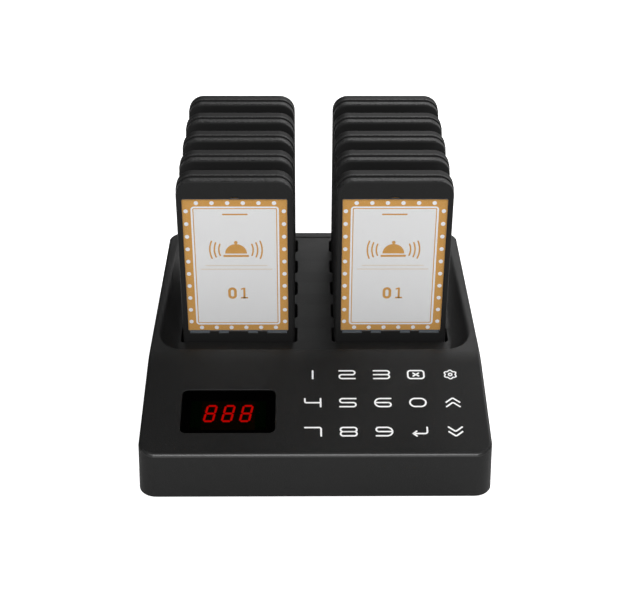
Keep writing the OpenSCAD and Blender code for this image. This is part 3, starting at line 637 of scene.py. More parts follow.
def recessLoops(shell):
    fine = spread(recessFront + hollow["frontR"] + 3, recessBack - hollow["backR"] - 3, 4)
    ends = spread(-recessHalf + hollow["frontR"] + 4, recessHalf - hollow["frontR"] - 4, 6)
    around = stations(recessHalf, recessFront, recessBack, hollow["frontR"], hollow["backR"], fine, ends, 10)
    turnFront, turnBack = recessFront + hollow["frontR"], recessBack - hollow["backR"]
    roundSteps, scoopSteps = hollow["roundSteps"], hollow["scoopSteps"]
    rings = [[] for _ in range(roundSteps + scoopSteps + 1)]
    for x, y, nx, ny in around:
        t = min(1, max(0, (y - turnFront) / (turnBack - turnFront)))
        scoop = hollow["scoop"] + (hollow["scoopBack"] - hollow["scoop"]) * t
        crest = hollow["rimR"] + (hollow["crestR"] - hollow["rimR"]) * min(1, max(0, (turnFront + 4 - y) / 8))
        crest += (hollow["backCrestR"] - hollow["rimR"]) * min(1, max(0, (y - turnBack) / hollow["backR"]))
        top, low = topZ(y), floorAt(y)
        reach = scoop + crest
        begin = reach * math.sin(math.acos(1 - (top - low) / reach)) - scoop
        toSlot = recessHalf - abs(pagerSpots["l1"].x) - slotHalfW - hollow["slotEdge"]
        wide = toSlot + (hollow["scoopBack"] + 2 - toSlot) * t
        side = nx * nx
        width = begin + scoop + (wide - scoop) * side
        tail = side * math.atan((top - low) / (hollow["tail"] * width))
        steep, bowl = hollowSlope(top - low, crest, width, tail)
        profile = []
        for i in range(roundSteps):
            a = steep * i / roundSteps
            e = begin - crest * math.sin(a)
            profile.append((e, topZ(y + ny * e) - crest * (1 - math.cos(a))))
        for i in range(scoopSteps + 1):
            a = steep + (tail - steep) * i / scoopSteps
            profile.append((begin - width + bowl * (math.sin(a) - math.sin(tail)),
                            low + bowl * (math.cos(tail) - math.cos(a))))
        for ring, (e, z) in zip(rings, profile):
            ring.append((x + nx * e, y + ny * e, z))
    loops = shell.chain(rings)
    return loops[0], loops[-1]


def pocketLoops(shell, spot):
    floorZ, under, roof = spot.z, spot.z - pocket["floor"], hollow["floorH"] - base["wall"]
    edge, top, fillet = pocket["edge"], floorAt(spot.y), pocket["floorR"]

    def ringAt(grow, z):
        flat = roundRect(slotHalfW + grow, slotHalfL + grow, pocket["r"] + grow, 6, spot.x, spot.y)
        return [(x, y, z) for x, y in flat]

    profile = [(edge * (1 - math.cos(a)), top - edge * (1 - math.sin(a))) for a in reversed(quarter(4))]
    profile += [(0.0, floorZ + fillet), (-0.3 * fillet, floorZ + 0.3 * fillet), (-fillet, floorZ)]
    loops = shell.chain(ringAt(e, z) for e, z in profile)
    box = shell.chain(ringAt(pocket["wall"], z) for z in (under, roof))
    upper, lower = [], []
    for side in (-1, 1):
        pinX = spot.x + side * pocket["pinPitch"] / 2
        ring = circle(pinX, spot.y + pocket["pinBack"], pocket["pinHole"], 16)
        upper.append(shell.loop([(x, y, floorZ) for x, y in ring]))
        lower.append(shell.loop([(x, y, under) for x, y in ring]))
        shell.bridge(upper[-1], lower[-1])
    shell.fill(loops[-1], upper)
    shell.fill(box[0], lower)
    return loops[0], box[1]


def onWindow(u, v, w):
    return onDeck(window["x"] + u, window["s"] + v, w)


def windowLoops(shell):
    halfW, halfL, r = window["w"] / 2, window["l"] / 2, window["r"]
    bevel, ledge = window["bevel"], window["ledge"]
    rings = []
    for grow, depth in ((bevel, 0.0), (0.0, bevel), (0.0, window["t"]), (-ledge, window["t"]),
                        (-ledge, base["wall"])):
        flat = roundRect(halfW + grow, halfL + grow, max(r + grow, window["leastR"]), 8)
        rings.append([onWindow(u, v, -depth) for u, v in flat])
    loops = shell.chain(rings)
    return loops[0], loops[-1]


def lattice(shell, xs, ys, height, keep):
    return shell.loop([(x, y, height(y)) for y in ys for x in xs if keep(x, y)])


def tube(shell, cx, cy, z0, z1, outer, inner):
    shell.chain([(x, y, z) for x, y in circle(cx, cy, r, 24)]
                for r, z in ((outer, z0), (outer, z1), (inner, z1), (inner, z0), (outer, z0)))


def paintFrontEdgeHighlight(housing):
    # gives the rolled top edge of the front wall a smoother, lighter finish, a painted highlight that stops
    # short of the corners and the sides
    for polygon in housing.data.polygons:
        x, y, z = polygon.center / mm
        tilt = math.degrees(math.asin(max(-1, min(1, polygon.normal.z))))
        alongFront = y < deckFront + 4 and abs(x) < footHalf - base["cornerR"] * 0.3
        if alongFront and 12 < tilt < 70 and z > topZ(y) - base["edgeR"] - 0.1:
            polygon.material_index = 1


def inletAxis():
    # where the inlet's axis stands, across and up, and where the inlet ends at the back
    low, high = nodeBox("power_inlet")
    return (low.x + high.x) / 2, high.z - inlet["down"], high.y


def backCutter(name, outline):
    # a prism through the back wall
    out, into = cutReach
    cutter = Mesher()
    cutter.prism(outline, -footBack - out, -footBack + into, lambda u, v, w: (u, -w, v))
    return cutter.make(name)


def buildHousing():
    shell = Mesher()
    rimLoop, ceilingLoop = outerLoops(shell)
    crestLoop, floorLoop = recessLoops(shell)
    openings, boxes = zip(*(pocketLoops(shell, pagerSpots[key]) for key in pagerKeys))
    windowTop, windowUnder = windowLoops(shell)
    shell.fill(floorLoop, openings)
    deckRows = spread(footFront + grid["frontIn"], bendFrom - grid["beforeBend"], grid["step"])
    bendRows = spread(bendFrom, recessFront - grid["beforeRecess"], grid["bendStep"])
    columns = spread(-footHalf + grid["margin"], footHalf - grid["margin"], grid["step"])
    edgeX, edgeS = window["w"] / 2 + grid["windowGap"], window["l"] / 2 + grid["windowGap"]
    windowY = onDeck(0, window["s"], 0)[1]

    def clearOfWindow(x, y):
        return abs(x - window["x"]) > edgeX or abs(y - windowY) > edgeS

    inside = lattice(shell, columns, deckRows + bendRows, topZ, clearOfWindow)
    shell.fill(rimLoop, [crestLoop, windowTop], inside)
    underRows = deckRows + spread(bendFrom, stepY - grid["stepGap"], grid["underStep"])
    under = lattice(shell, columns, underRows, ceilingZ, clearOfWindow)
    under += lattice(shell, columns, [stepY + grid["stepGap"]], ceilingZ, lambda x, y: True)
    shell.fill(ceilingLoop, [windowUnder, *boxes], under)
    bossX = footHalf - base["wall"] - boss["r"] - boss["inset"]
    for sx in (-1, 1):
        for y in (footFront + boss["endIn"], (footFront + footBack) / 2, footBack - boss["endIn"]):
            tube(shell, sx * bossX, y, footZ + boss["up"], ceilingZ(y) + boss["into"],
                 boss["r"], boss["bore"])
    housing = shell.make("topHousing", sharp=40, weld=2e-7)
    inletX, inletZ, _ = inletAxis()
    low, high = nodeBox("switch_housing")
    switchX = (low.x + high.x) / 2
    switchSlot = roundRect(switch["halfW"], switch["halfH"], switch["r"], 3, switchX, switch["z"])
    cutAway(housing, [backCutter("boreCutter", circle(inletX, inletZ, inlet["r"], 40)),
                      backCutter("slotCutter", switchSlot)])
    evenShade(housing)
    # the second finish is the painted highlight on the front top edge
    dress(housing, "housingBlack", "frontEdgeHighlight")
    paintFrontEdgeHighlight(housing)
    attach(housing, "base", "housing", "top_housing")
    print("housing:", len(housing.data.polygons), "faces")


buildHousing()


# Display window, digits and legends

def buildLens():
    shell = Mesher()
    slack = window["slack"]
    halfW, halfL, r = window["w"] / 2 - slack, window["l"] / 2 - slack, window["r"] - slack
    rings = []
    for inset, depth in ((0.0, window["t"]), (0.0, 0.3), (0.08, 0.1), (0.28, 0.0)):
        flat = roundRect(halfW - inset, halfL - inset, r - inset, 8)
        rings.append([onWindow(u, v, -depth) for u, v in flat])
    shell.cap(shell.chain(rings))
    lens = evenShade(shell.make("displayLens", sharp=50))
    dress(lens, "lensBlack")
    attach(lens, "base", "lens", "display_window")
    border = Mesher()
    hole = roundRect(window["seenW"] / 2, window["seenL"] / 2, window["seenR"], 3, 0, -window["seenDrop"])
    border.prism(roundRect(halfW - slack, halfL - slack, r, 8), window["borderLow"], window["borderHigh"],
                 lambda u, v, w: onWindow(u, v, w - window["t"]), [hole])
    attach(dress(border.make("lensBorder", sharp=30), "maskBlack"), "base", "lens")


buildLens()

digits = {"h": 10.8, "w": 5.5, "pitch": 9.0, "bar": 1.02, "drop": 0.5, "lean": 10.0, "gap": 0.18, "deep": 1.5,
          "low": 0.03, "high": 0.18, "pointR": 0.55, "pointGap": 0.3, "fieldW": 26.8, "fieldL": 18.6,
          "fieldR": 0.3, "fieldT": 0.05}


def digitBars():
    # the seven bars of a figure, each a leaning bar with mitred ends
    x0, x1 = digits["bar"] / 2, digits["w"] - digits["bar"] / 2
    y0, y1, y2 = digits["bar"] / 2, digits["h"] / 2, digits["h"] - digits["bar"] / 2
    ends = [((x0, y0), (x1, y0)), ((x0, y1), (x1, y1)), ((x0, y2), (x1, y2)), ((x0, y0), (x0, y1)),
            ((x0, y1), (x0, y2)), ((x1, y0), (x1, y1)), ((x1, y1), (x1, y2))]
    bars = []
    for a, b in ends:
        a, b = Vector(a), Vector(b)
        along = (b - a).normalized()
        side = Vector((-along.y, along.x))
        half, p, q = digits["bar"] / 2, a + along * digits["gap"], b - along * digits["gap"]
        outline = [p, p + (along - side) * half, q - (along + side) * half, q,
                   q + (side - along) * half, p + (along + side) * half]
        bars.append([(v.x + (v.y - y1) * math.tan(math.radians(digits["lean"])), v.y) for v in outline])
    return bars


def buildDigits():
    lit, unlit, field = Mesher(), Mesher(), Mesher()
    for i in (-1, 0, 1):
        def place(u, v, w):
            return onDeck(window["x"] + i * digits["pitch"] - digits["w"] / 2 + u,
                          window["s"] - digits["drop"] - digits["h"] / 2 + v, w - digits["deep"])
        for bar in digitBars():
            lit.prism(bar, digits["low"], digits["high"], place)
        point = circle(digits["w"] + digits["pointGap"], digits["bar"] / 2, digits["pointR"], 16)
        unlit.prism(point, digits["low"], digits["high"], place)
    face = roundRect(digits["fieldW"] / 2, digits["fieldL"] / 2, digits["fieldR"], 3)
    fieldS = window["s"] - window["seenDrop"]
    field.prism(face, 0, digits["fieldT"],
                lambda u, v, w: onDeck(window["x"] + u, fieldS + v, w - digits["deep"]))
    for shell, name, finish in ((lit, "digitBars", "segmentRed"), (unlit, "digitPoints", "segmentOffGlow")):
        piece = dress(shell.make(name, sharp=30, weld=0), finish)
        attach(piece, "base", "segment", "display_segments")
    attach(dress(field.make("digitField", sharp=30), "digitField"), "base", "display_face")


buildDigits()

legend = {
    "firstX": -1.2, "pitchX": 17.6, "middleS": 33.0, "pitchS": 18.5, "halfW": 4.0, "halfH": 2.62,
    "stroke": 0.86, "fineStroke": 0.7, "sunk": -0.05, "height": 0.06,
}


def strokeOutline(path, width):
    # a flat stroke with round ends along a path
    half = width / 2
    points = [Vector(p) for p in path]
    left, right = [], []
    for i, p in enumerate(points):
        before = (p - points[i - 1]).normalized() if i else None
        after = (points[i + 1] - p).normalized() if i < len(points) - 1 else None
        along = ((before or after) + (after or before)).normalized()
        mitre = max(0.5, along.dot(after or before))
        side = Vector((-along.y, along.x)) * (half / mitre)
        left.append(tuple(p + side))
        right.append(tuple(p - side))
    endAngle = math.degrees(math.atan2(*(points[-1] - points[-2]).yx))
    startAngle = math.degrees(math.atan2(*(points[1] - points[0]).yx))
    endCap = arc(*points[-1], half, half, endAngle - 90, endAngle + 90, 8)[1:-1]
    startCap = arc(*points[0], half, half, startAngle + 90, startAngle + 270, 8)[1:-1]
    return right + endCap + left[::-1] + startCap


def glyphs():
    w, h = legend["halfW"], legend["halfH"]
    r = h / 2
    right = arc(w - r, r, r, r, 90, -90)      # upper bow on the right
    rightLow = arc(w - r, -r, r, r, 90, -90)
    left = arc(-w + r, r, r, r, 90, 270)
    leftLow = arc(-w + r, -r, r, r, 90, 270)
    bigLeft = arc(-w + h, 0, h, h, 90, 270, 14)
    bigRight = arc(w - h, 0, h, h, 90, -90, 14)
    box = roundRect(w + 0.1, h + 0.05, 1.5, 6)
    gear = []
    for a in (math.radians(5 * i) for i in range(72)):
        reach = 2.6 + 0.33 * math.cos(6 * a)
        gear.append((reach * math.sin(a) * 1.12, reach * math.cos(a)))
    chevron = [(-3.35, -1.3), (-0.35, 1.2), (0.35, 1.2), (3.35, -1.3)]
    return {
        "1": [[(0, h), (0, -h)]],
        "2": [[(-w, h)] + right + leftLow + [(w, -h)]],
        "3": [[(-w, h)] + right, [(-w, 0), (w - r, 0)], rightLow + [(-w, -h)]],
        "4": [[(-w, h)] + arc(-w + 0.9, 0.9, 0.9, 0.9, 180, 270, 5) + [(w, 0)],
              [(w - 0.1, h), (w - 0.1, -h)]],
        "5": [[(w, h)] + left + rightLow + [(-w, -h)]],
        "6": [[(w, h)] + bigLeft + arc(w - r, -r, r, r, -90, 90), [(w - r, 0), (-w + 0.1, 0)]],
        "7": [[(-w, h)] + arc(w - 1.0, h - 1.0, 1.0, 1.0, 90, 0, 5) + [(w, -h)]],
        "8": [closed(roundRect(w, r, r, 7, 0, r)), closed(roundRect(w, r, r, 7, 0, -r))],
        "9": [[(-w, -h)] + bigRight[::-1] + arc(-w + r, r, r, r, 90, 270), [(-w + r, 0), (w - 0.1, 0)]],
        "0": [closed(roundRect(w, h, h, 10))],
        "clear": [closed(box), [(-1.35, -0.95), (1.35, 0.95)], [(-1.35, 0.95), (1.35, -0.95)]],
        "gear": [closed(gear), closed(circle(0, 0, 0.85, 24))],
        "up": [[(x, y + 1.45) for x, y in chevron], [(x, y - 1.45) for x, y in chevron]],
        "down": [[(x, 1.45 - y) for x, y in chevron], [(x, -1.45 - y) for x, y in chevron]],
        "enter": [[(w - 0.4, h)] + arc(w - 1.6, -0.1, 1.2, 1.2, 0, -90, 6) + [(-w + 0.6, -1.3)],
                  [(-w + 2.3, 0.2), (-w + 0.6, -1.3), (-w + 2.3, -2.8)]],
    }


def drawPaths(shell, paths, width, low, high, place):
    for path in paths:
        if "plate" in path:
            shell.prism(path["plate"], low, high, place)
        elif "ring" in path:
            ring = distinct(path["ring"])
            ring = ring if signedArea(ring) > 0 else ring[::-1]
            shell.prism(grownOutline(ring, width / 2), low, high, place, [grownOutline(ring, -width / 2)])
        else:
            shell.prism(strokeOutline(path, width), low, high, place)


def buildLegends():
    shapes = glyphs()
    rows = (("7", "8", "9", "enter", "down"), ("4", "5", "6", "0", "up"), ("1", "2", "3", "clear", "gear"))
    for j, row in enumerate(rows):
        for i, name in enumerate(row):
            x = legend["firstX"] + i * legend["pitchX"]
            s = legend["middleS"] + (j - 1) * legend["pitchS"]
            shell = Mesher()
            stroke = legend["fineStroke"] if name == "gear" else legend["stroke"]
            drawPaths(shell, shapes[name], stroke, legend["sunk"], legend["height"],
                      lambda u, v, w: onDeck(x + u, s + v, w))
            mark = shell.make("legend_" + name, sharp=30, weld=0)
            dress(mark, "legendWhiteGlow")
            attach(mark, "base", "housing")
    print("legends:", sum(len(row) for row in rows))


buildLegends()


# Pagers

def faceRing(inset, y):
    # one loop round a pager, drawn in by inset, at depth y
    points = roundRect(pager["w"] / 2 - inset, pager["h"] / 2 - inset, max(pager["r"] - inset, 0.3), 9)
    return [(u, y, v + pager["h"] / 2) for u, v in points]


def roundedProfile(rows):
    shell = Mesher()
    return shell, shell.chain(faceRing(inset, y) for inset, y in rows)


def markLipGrainAndSheen(piece, y0, y1):
    # coarser mould texture and a lighter colour on the rim between two depths, the lighter colour a painted
    # highlight
    middle = Vector((0, 0, pager["h"] / 2))
    for polygon in piece.data.polygons:
        centre = polygon.center / mm
        outward = (centre - middle) * Vector((1, 0, 1))
        if y0 < centre.y < y1 and outward.dot(polygon.normal) > 0 and abs(polygon.normal.y) < 0.8:
            polygon.material_index = 1
    return piece


def buildRearShell():
    back, edge = pager["t"] / 2, pager["backEdge"]
    front = back - pager["rear"]
    rows = [(edge * (1 - math.sin(a)), back - edge * (1 - math.cos(a))) for a in quarter(6)]
    rows += [(0.0, front + pager["lip"]), (0.0, front + 0.45), (0.06, front + 0.22), (0.2, front + 0.07),
             (0.4, front), (pager["wall"], front), (pager["wall"], back - pager["wall"])]
    shell, loops = roundedProfile(rows)
    shell.cap(loops, (0, 2))
    piece = shell.make("rearShellMaster", sharp=40)
    holes = Mesher()
    for side in (-1, 1):
        spot = circle(side * pocket["pinPitch"] / 2, pocket["pinBack"], pocket["padHole"], 32)
        holes.prism(spot, -1.0, pager["wall"] + 1.0, lambda u, v, w: (u, v, w))
    piece = evenShade(cutAway(piece, [holes.make("padCutter")]))
    dress(piece, "shellBlack", "lipGrainAndSheen")
    return markLipGrainAndSheen(piece, front, front + pager["lip"])


def buildLightRing():
    back = pager["t"] / 2 - pager["rear"] - 0.05
    far = back - pager["ring"] + 0.1
    inset = pager["ringInset"] + 0.35
    rows = [(2.0, back), (inset + 0.3, back), (inset + 0.08, back - 0.12), (inset, back - 0.35),
            (inset, far + 0.35), (inset + 0.08, far + 0.12), (inset + 0.3, far), (2.0, far), (2.0, back)]
    shell, _ = roundedProfile(rows)
    return evenShade(shell.make("lightRingMaster", sharp=40))


sign = {"w": 53.4, "h": 79.2, "up": 18.8, "r": 0.8, "glass": 1.2, "card": 0.3, "tabH": 1.2, "notchW": 5.4,
        "notchUp": 1.1, "bevel": 0.18, "paneBevel": 0.12, "slack": 0.1,
        "tabs": ((-20.5, 10.8), (-7.75, 5.6), (7.75, 5.6), (20.5, 10.8))}


def signOutline(slack, notch=True):
    # counter-clockwise round the sign's opening, u across and v up from the pager's foot
    halfW, low, high = sign["w"] / 2 - slack, sign["up"] + slack, sign["up"] + sign["h"] - slack
    r = sign["r"]
    ring = arc(-halfW + r, low + r, r, r, 180, 270, 4)
    for middle, width in sign["tabs"]:
        half = width / 2 - slack
        foot = low - sign["tabH"]
        ring += [(middle - half, low), (middle - half, foot), (middle + half, foot), (middle + half, low)]
    ring += arc(halfW - r, low + r, r, r, 270, 360, 4)
    ring += arc(halfW - r, high - r, r, r, 0, 90, 4)
    if notch:
        half = sign["notchW"] / 2
        ring += [(half, high)] + arc(0, high, half - 0.5, sign["notchUp"], 30, 150, 8) + [(-half, high)]
    ring += arc(-halfW + r, high - r, r, r, 90, 180, 4)
    return distinct(ring)


def buildFrontShell():
    back = pager["t"] / 2 - pager["rear"] - pager["ring"]
    front, edge, inset = -pager["t"] / 2, pager["frontEdge"], pager["frontInset"]
    rows = [(2.0, front + pager["face"]), (2.0, back), (inset + 0.3, back), (inset + 0.08, back - 0.1),
            (inset, back - 0.35)]
    rows += [(inset + edge * (1 - math.cos(b)), front + edge * (1 - math.sin(b))) for b in quarter(6)]
    shell, loops = roundedProfile(rows)
    shell.fill(loops[0], axes=(0, 2))
    opening = signOutline(0)
    bevel = sign["bevel"]
    rings = shell.chain([(u, front + depth, v) for u, v in grownOutline(opening, grow)]
                        for grow, depth in ((bevel, 0.0), (0.0, bevel), (0.0, sign["glass"] + sign["card"])))
    shell.fill(loops[-1], [rings[0]], axes=(0, 2))
    shell.fill(rings[-1], axes=(0, 2))
    piece = evenShade(shell.make("frontShellMaster", sharp=40))
    dress(piece, "shellBlack", "lipGrainAndSheen")
    return markLipGrainAndSheen(piece, front + edge * 0.35, back)


cardY = -pager["t"] / 2 + sign["glass"] + 0.05
inkT = 0.012
art = {
    "frameSide": 4.45, "frameTop": 4.9, "frameFoot": 3.55, "lineW": 0.95, "lineR": 1.7, "goldW": 0.48,
    "dotR": 1.12, "sideDots": 10, "sidePitch": 7.35, "sideFrom": 5.45, "sideIn": 1.95,
    "endDots": 6, "endPitch": 7.85, "endShift": 0.25, "topIn": 2.95, "footIn": 1.7,
    "numberUp": 23.15, "numberShift": 0.5, "figureGap": 3.05, "figureStroke": 1.42, "emblemUp": 49.6,
}
layer = {"line": 0, "gold": 1, "panel": 2, "print": 3}  # ink layers on the card, from below
bell = {
    "domeR": 5.6, "domeDown": 2.6, "footHalfW": 6.6, "footHalfH": 0.6, "footR": 0.55, "footDown": 4.0,
    "knobR": 0.95, "knobUp": 3.9, "arcRs": (8.8, 11.1, 13.4), "arcDown": 0.4, "arcHalf": 22, "arcStroke": 0.8,
}
rules = {"topHalf": 6.5, "topDown": 9.4, "topThin": 0.42, "fineThin": 0.3,
         "fine": ((16.0, 39.9), (18.5, 37.7))}


def onCard(count):
    # on the card, above count layers of ink
    return lambda u, v, w: (u, cardY - count * inkT - w, v)


def buildCard():
    shell = Mesher()
    slack = sign["slack"]
    halfW, low, high = sign["w"] / 2 - slack, sign["up"] + slack, sign["up"] + sign["h"] - slack
    ring = roundRect(halfW, (high - low) / 2, 0.7, 4, 0, (low + high) / 2)
    shell.prism(ring, -0.25, 0.0, onCard(0))
    return shell.make("cardMaster", sharp=30)


def buildInk():
    # a white line frame, a gold line inside it and the pale panel
    line, gold, panel = Mesher(), Mesher(), Mesher()
    low, high = sign["up"] + art["frameFoot"], sign["up"] + sign["h"] - art["frameTop"]

    def frameRing(inset, r):
        halfW = sign["w"] / 2 - art["frameSide"] - inset
        return roundRect(halfW, (high - low) / 2 - inset, r, 5, 0, (low + high) / 2)

    goldIn = art["lineW"] + art["goldW"]
    line.prism(frameRing(0, art["lineR"]), 0, inkT, onCard(layer["line"]))
    gold.prism(frameRing(art["lineW"], 0.6), 0, inkT, onCard(layer["gold"]))
    panel.prism(frameRing(goldIn, 0.3), 0, inkT, onCard(layer["panel"]))
    return (line.make("lineMaster", sharp=30, weld=0), gold.make("goldMaster", sharp=30, weld=0),
            panel.make("panelMaster", sharp=30, weld=0))


def dotTree():
    # a flat round dot on every point of a mesh
    tree = bpy.data.node_groups.new("printedDots", "GeometryNodeTree")
    face = tree.interface
    face.new_socket("Geometry", in_out="INPUT", socket_type="NodeSocketGeometry")
    radius = face.new_socket("Dot Radius", in_out="INPUT", socket_type="NodeSocketFloat")
    depth = face.new_socket("Ink Depth", in_out="INPUT", socket_type="NodeSocketFloat")
    finish = face.new_socket("Finish", in_out="INPUT", socket_type="NodeSocketMaterial")
    face.new_socket("Geometry", in_out="OUTPUT", socket_type="NodeSocketGeometry")
    start, end = tree.nodes.new("NodeGroupInput"), tree.nodes.new("NodeGroupOutput")
    given = start.outputs
    disc = addNode(tree, "GeometryNodeMeshCylinder",
                   {"Vertices": 20, "Radius": given["Dot Radius"], "Depth": given["Ink Depth"]})
    turn = addNode(tree, "GeometryNodeTransform",
                   {"Rotation": (math.radians(90), 0, 0), "Geometry": disc.outputs["Mesh"]})
    stamp = addNode(tree, "GeometryNodeInstanceOnPoints",
                    {"Points": given["Geometry"], "Instance": turn.outputs["Geometry"]})
    real = addNode(tree, "GeometryNodeRealizeInstances", {"Geometry": stamp.outputs["Instances"]})
    paint = addNode(tree, "GeometryNodeSetMaterial",
                    {"Geometry": real.outputs["Geometry"], "Material": given["Finish"]})
    feed(tree, end, {"Geometry": paint.outputs["Geometry"]})
    return tree, {"radius": radius.identifier, "depth": depth.identifier, "finish": finish.identifier}


def buildDots():
    spots = []
    low, high = sign["up"], sign["up"] + sign["h"]
    for side in (-1, 1):
        x = side * (sign["w"] / 2 - art["sideIn"])
        spots += [(x, low + art["sideFrom"] + art["sidePitch"] * i) for i in range(art["sideDots"])]
    for z in (low + art["footIn"], high - art["topIn"]):
        spots += [((i - (art["endDots"] - 1) / 2) * art["endPitch"] + art["endShift"], z)
                  for i in range(art["endDots"])]
    mesh = bpy.data.meshes.new("dotSpots")
    mesh.from_pydata([Vector((x, cardY - inkT / 2, z)) * mm for x, z in spots], [], [])
    piece = bpy.data.objects.new("dotMaster", mesh)
    scene.collection.objects.link(piece)
    tree, sockets = dotTree()
    stamp = piece.modifiers.new("printedDots", "NODES")
    stamp.node_group = tree
    stamp[sockets["radius"]] = art["dotR"] * mm
    stamp[sockets["depth"]] = inkT * mm
    stamp[sockets["finish"]] = finishes["cardLine"]
    return applied(piece)


def buildEmblem():
    # a plain counter bell between arcs, with rules above and below it
    gold, faint = Mesher(), Mesher()
    place = onCard(layer["print"])
    mid = sign["up"] + art["emblemUp"]
    shapes = [
        arc(0, mid - bell["domeDown"], bell["domeR"], bell["domeR"], 0, 180, 24),
        roundRect(bell["footHalfW"], bell["footHalfH"], bell["footR"], 4, 0, mid - bell["footDown"]),
        circle(0, mid + bell["knobUp"], bell["knobR"], 20),
    ]
    for side in (0, 180):
        for r in bell["arcRs"]:
            path = arc(0, mid - bell["arcDown"], r, r, side - bell["arcHalf"], side + bell["arcHalf"], 10)
            shapes.append(strokeOutline(path, bell["arcStroke"]))
    shapes.append(roundRect(rules["topHalf"], rules["topThin"], 0.4, 4, 0,
                            sign["up"] + sign["h"] - rules["topDown"]))
    for shape in shapes:
        gold.prism(shape, 0, inkT, place)
    for half, z in rules["fine"]:
        faint.prism(roundRect(half, rules["fineThin"], 0.28, 3, 0, sign["up"] + z), 0, inkT, place)
    return gold.make("emblemMaster", sharp=30, weld=0), faint.make("ruleMaster", sharp=30, weld=0)


def figures():
    # outlines and strokes of the printed figures, about 4 wide and 6.6 high round their middle
    def bar(x0, y0, x1, y1):
        return plate([(x0, y0), (x1, y0), (x1, y1), (x0, y1)])

    return {
        "0": [closed(roundRect(1.55, 2.78, 1.55, 8))],
        "1": [bar(-0.45, -3.3, 0.65, 3.3), bar(-1.75, -3.3, 1.95, -2.42),
              plate([(-1.6, 1.95), (-0.45, 2.3), (-0.45, 3.3), (-1.6, 2.75)])],
        "2": [arc(0, 1.35, 1.5, 1.42, 155, -28, 12), [(1.32, 0.7), (-1.45, -2.6)],
              bar(-1.95, -3.3, 2.0, -2.35)],
        "3": [arc(-0.1, 1.42, 1.45, 1.33, 150, -90, 12), arc(-0.1, -1.33, 1.6, 1.42, 90, -150, 12)],
        "4": [bar(0.3, -3.3, 1.4, 3.3), bar(-2.1, -1.75, 2.1, -0.8), [(0.6, 2.75), (-1.6, -1.2)]],
        "5": [bar(-1.4, 2.35, 1.75, 3.3), [(-1.0, 2.7), (-1.2, 0.35)],
              arc(-0.15, -0.95, 1.65, 1.8, 130, -150, 12)],
    }


def buildNumber(row):
    shapes = figures()
    shell, place = Mesher(), onCard(layer["print"])
    for name, side in (("0", -1), (str(row), 1)):
        middle = Vector((side * art["figureGap"] + art["numberShift"], sign["up"] + art["numberUp"]))
        drawPaths(shell, shapes[name], art["figureStroke"], 0, inkT,
                  lambda u, v, w: place(middle.x + u, middle.y + v, w))
    return shell.make("numberMaster", sharp=30, weld=0)


def buildPane():
    shell = Mesher()
    front = -pager["t"] / 2
    outline, bevel = signOutline(sign["slack"], notch=False), sign["paneBevel"]
    rings = shell.chain([(u, front + depth, v) for u, v in grownOutline(outline, grow)]
                        for grow, depth in ((0.0, sign["glass"]), (0.0, bevel), (-bevel, 0.0)))
    shell.cap(rings, (0, 2))
    pane = dress(shell.make("paneMaster", sharp=40), "clearPane", "clearEdge")
    edgeZ = (sign["up"] + bevel) * mm
    for polygon in pane.data.polygons:
        below = max(pane.data.vertices[v].co.z for v in polygon.vertices) < edgeZ
        if below or abs(polygon.normal.y) < 0.9:
            polygon.material_index = 1
    return pane


def buildPagers():
    masters = {
        "rearShell": (buildRearShell(), "pager_shell", "rear_shell"),
        "lightRing": (dress(buildLightRing(), "ringSmoke"), "pager_shell", "rear_shell"),
        "frontShell": (buildFrontShell(), "pager_shell", "front_shell"),
        "card": (dress(buildCard(), "cardGold"), "sign", "sign"),
        "dots": (buildDots(), "sign", "sign"),
        "pane": (buildPane(), "sign", "sign"),
    }
    prints = (*buildInk(), *buildEmblem())
    names = ("lineInk", "goldInk", "panelInk", "emblem", "rules")
    inks = ("cardLine", "cardGold", "cardWhite", "cardGold", "cardFaint")
    for name, piece, ink in zip(names, prints, inks):
        masters[name] = (dress(piece, ink), "sign", "sign")
    for key in pagerKeys:
        for name, (master, slotName, node) in masters.items():
            piece = placedCopy(master, f"{name}_{key}", pagerSpots[key])
            attach(piece, "pager_" + key, slotName, f"pager_{key}_{node}")
    for row in range(1, 6):
        number = dress(buildNumber(row), "cardGold")
        for side in "lr":
            key = side + str(row)
            piece = placedCopy(number, f"number_{key}", pagerSpots[key])
            attach(piece, "pager_" + key, "sign", f"pager_{key}_sign")
        bpy.data.objects.remove(number)
    for master, _, _ in masters.values():
        bpy.data.objects.remove(master)
    print("pagers:", len(pagerKeys))


buildPagers()


# Back: printed marks on the rocker and the inlet's contact pin

backMark = {"out": 2.8, "barW": 0.5, "barH": 2.6, "ringR": 1.15, "stroke": 0.42, "sunk": -0.04,
            "height": 0.03, "pinR": 1.03, "pinBack": 2.2, "pinL": 5}


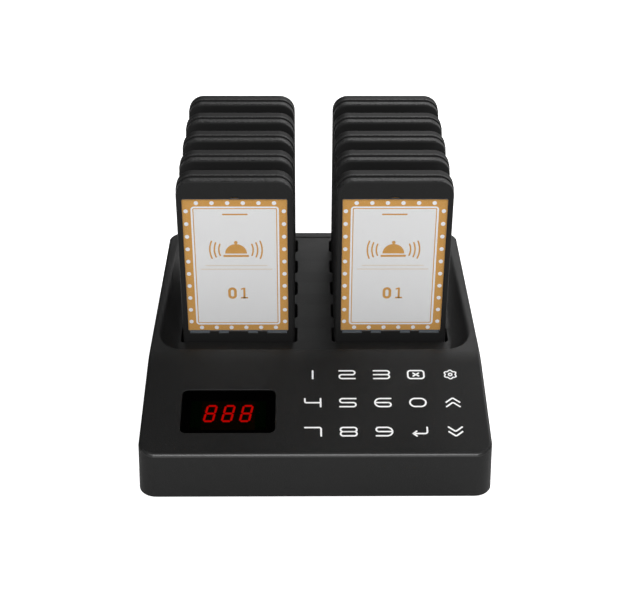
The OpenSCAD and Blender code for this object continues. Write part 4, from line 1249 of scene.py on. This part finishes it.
def rockerFace(side):
    # the middle, across, up and outward directions of one half of the rocker's face
    low, high = nodeBox("switch_rocker")
    middle = (low + high) / 2
    flats = [p for p in nodes["switch_rocker"].data.polygons
             if p.normal.y > 0.8 and (p.center.x / mm - middle.x) * side > 0.3]
    flat = max(flats, key=lambda p: p.area)
    out = flat.normal.normalized()
    x, z = middle.x + side * backMark["out"], middle.z
    anchor = flat.center / mm
    y = anchor.y - (out.x * (x - anchor.x) + out.z * (z - anchor.z)) / out.y
    up = (Vector((0, 0, 1)) - out * out.z).normalized()
    return Vector((x, y, z)), up.cross(out), up, out


def buildBack():
    marks = Mesher()
    bar = plate(roundRect(backMark["barW"] / 2, backMark["barH"] / 2, 0.1, 3))
    for side, shape in ((-1, bar), (1, closed(circle(0, 0, backMark["ringR"], 28)))):
        middle, across, up, out = rockerFace(side)
        drawPaths(marks, [shape], backMark["stroke"], backMark["sunk"], backMark["height"],
                  lambda u, v, w: middle + across * u + up * v + out * w)
    attach(dress(marks.make("rockerMarks", sharp=30, weld=0), "legendWhiteGlow"), "rocker", "rocker")
    x, z, tip = inletAxis()
    tip, pinR = tip - backMark["pinBack"], backMark["pinR"]
    profile = ((pinR, tip - backMark["pinL"]), (pinR, tip), (0.85, tip + 0.2), (0.4, tip + 0.3))
    pin = Mesher()
    pin.cap(pin.chain([(x + u, y, z + v) for u, v in circle(0, 0, r, 20)] for r, y in profile), (0, 2))
    attach(dress(pin.make("inletPin", sharp=50), "screwSteel"), "base", "contact")


buildBack()


# Finishes of the pieces kept from the frame

keptFinishes = {
    "plateBlack": ["base_plate"], "footRubber": ["rubber_feet"], "moduleFace": ["display_module"],
    "screwSteel": ["housing_screws", "board_screws"], "padFoam": ["touch_pads"],
    "contactGold": ["contact_pins"], "partBlack": ["board_parts", "buzzer"], "shieldSteel": ["radio_module"],
    "cableGrey": ["flat_cable"], "socketBlack": ["power_inlet", "switch_housing"],
    "rockerBlack": ["switch_rocker"],
    "boardGreen": ["panel_board", "charge_boards", "main_board",
                   *(f"pager_{key}_works" for key in pagerKeys)],
}


def finishKept():
    kept = [(name, finishes[finish]) for finish, names in keptFinishes.items() for name in names]
    for name, material in kept:
        slots = nodes[name].material_slots
        for slot in slots:
            slot.material = material
        if not slots:
            nodes[name].data.materials.append(material)
    print("kept nodes finished:", len(kept))


finishKept()
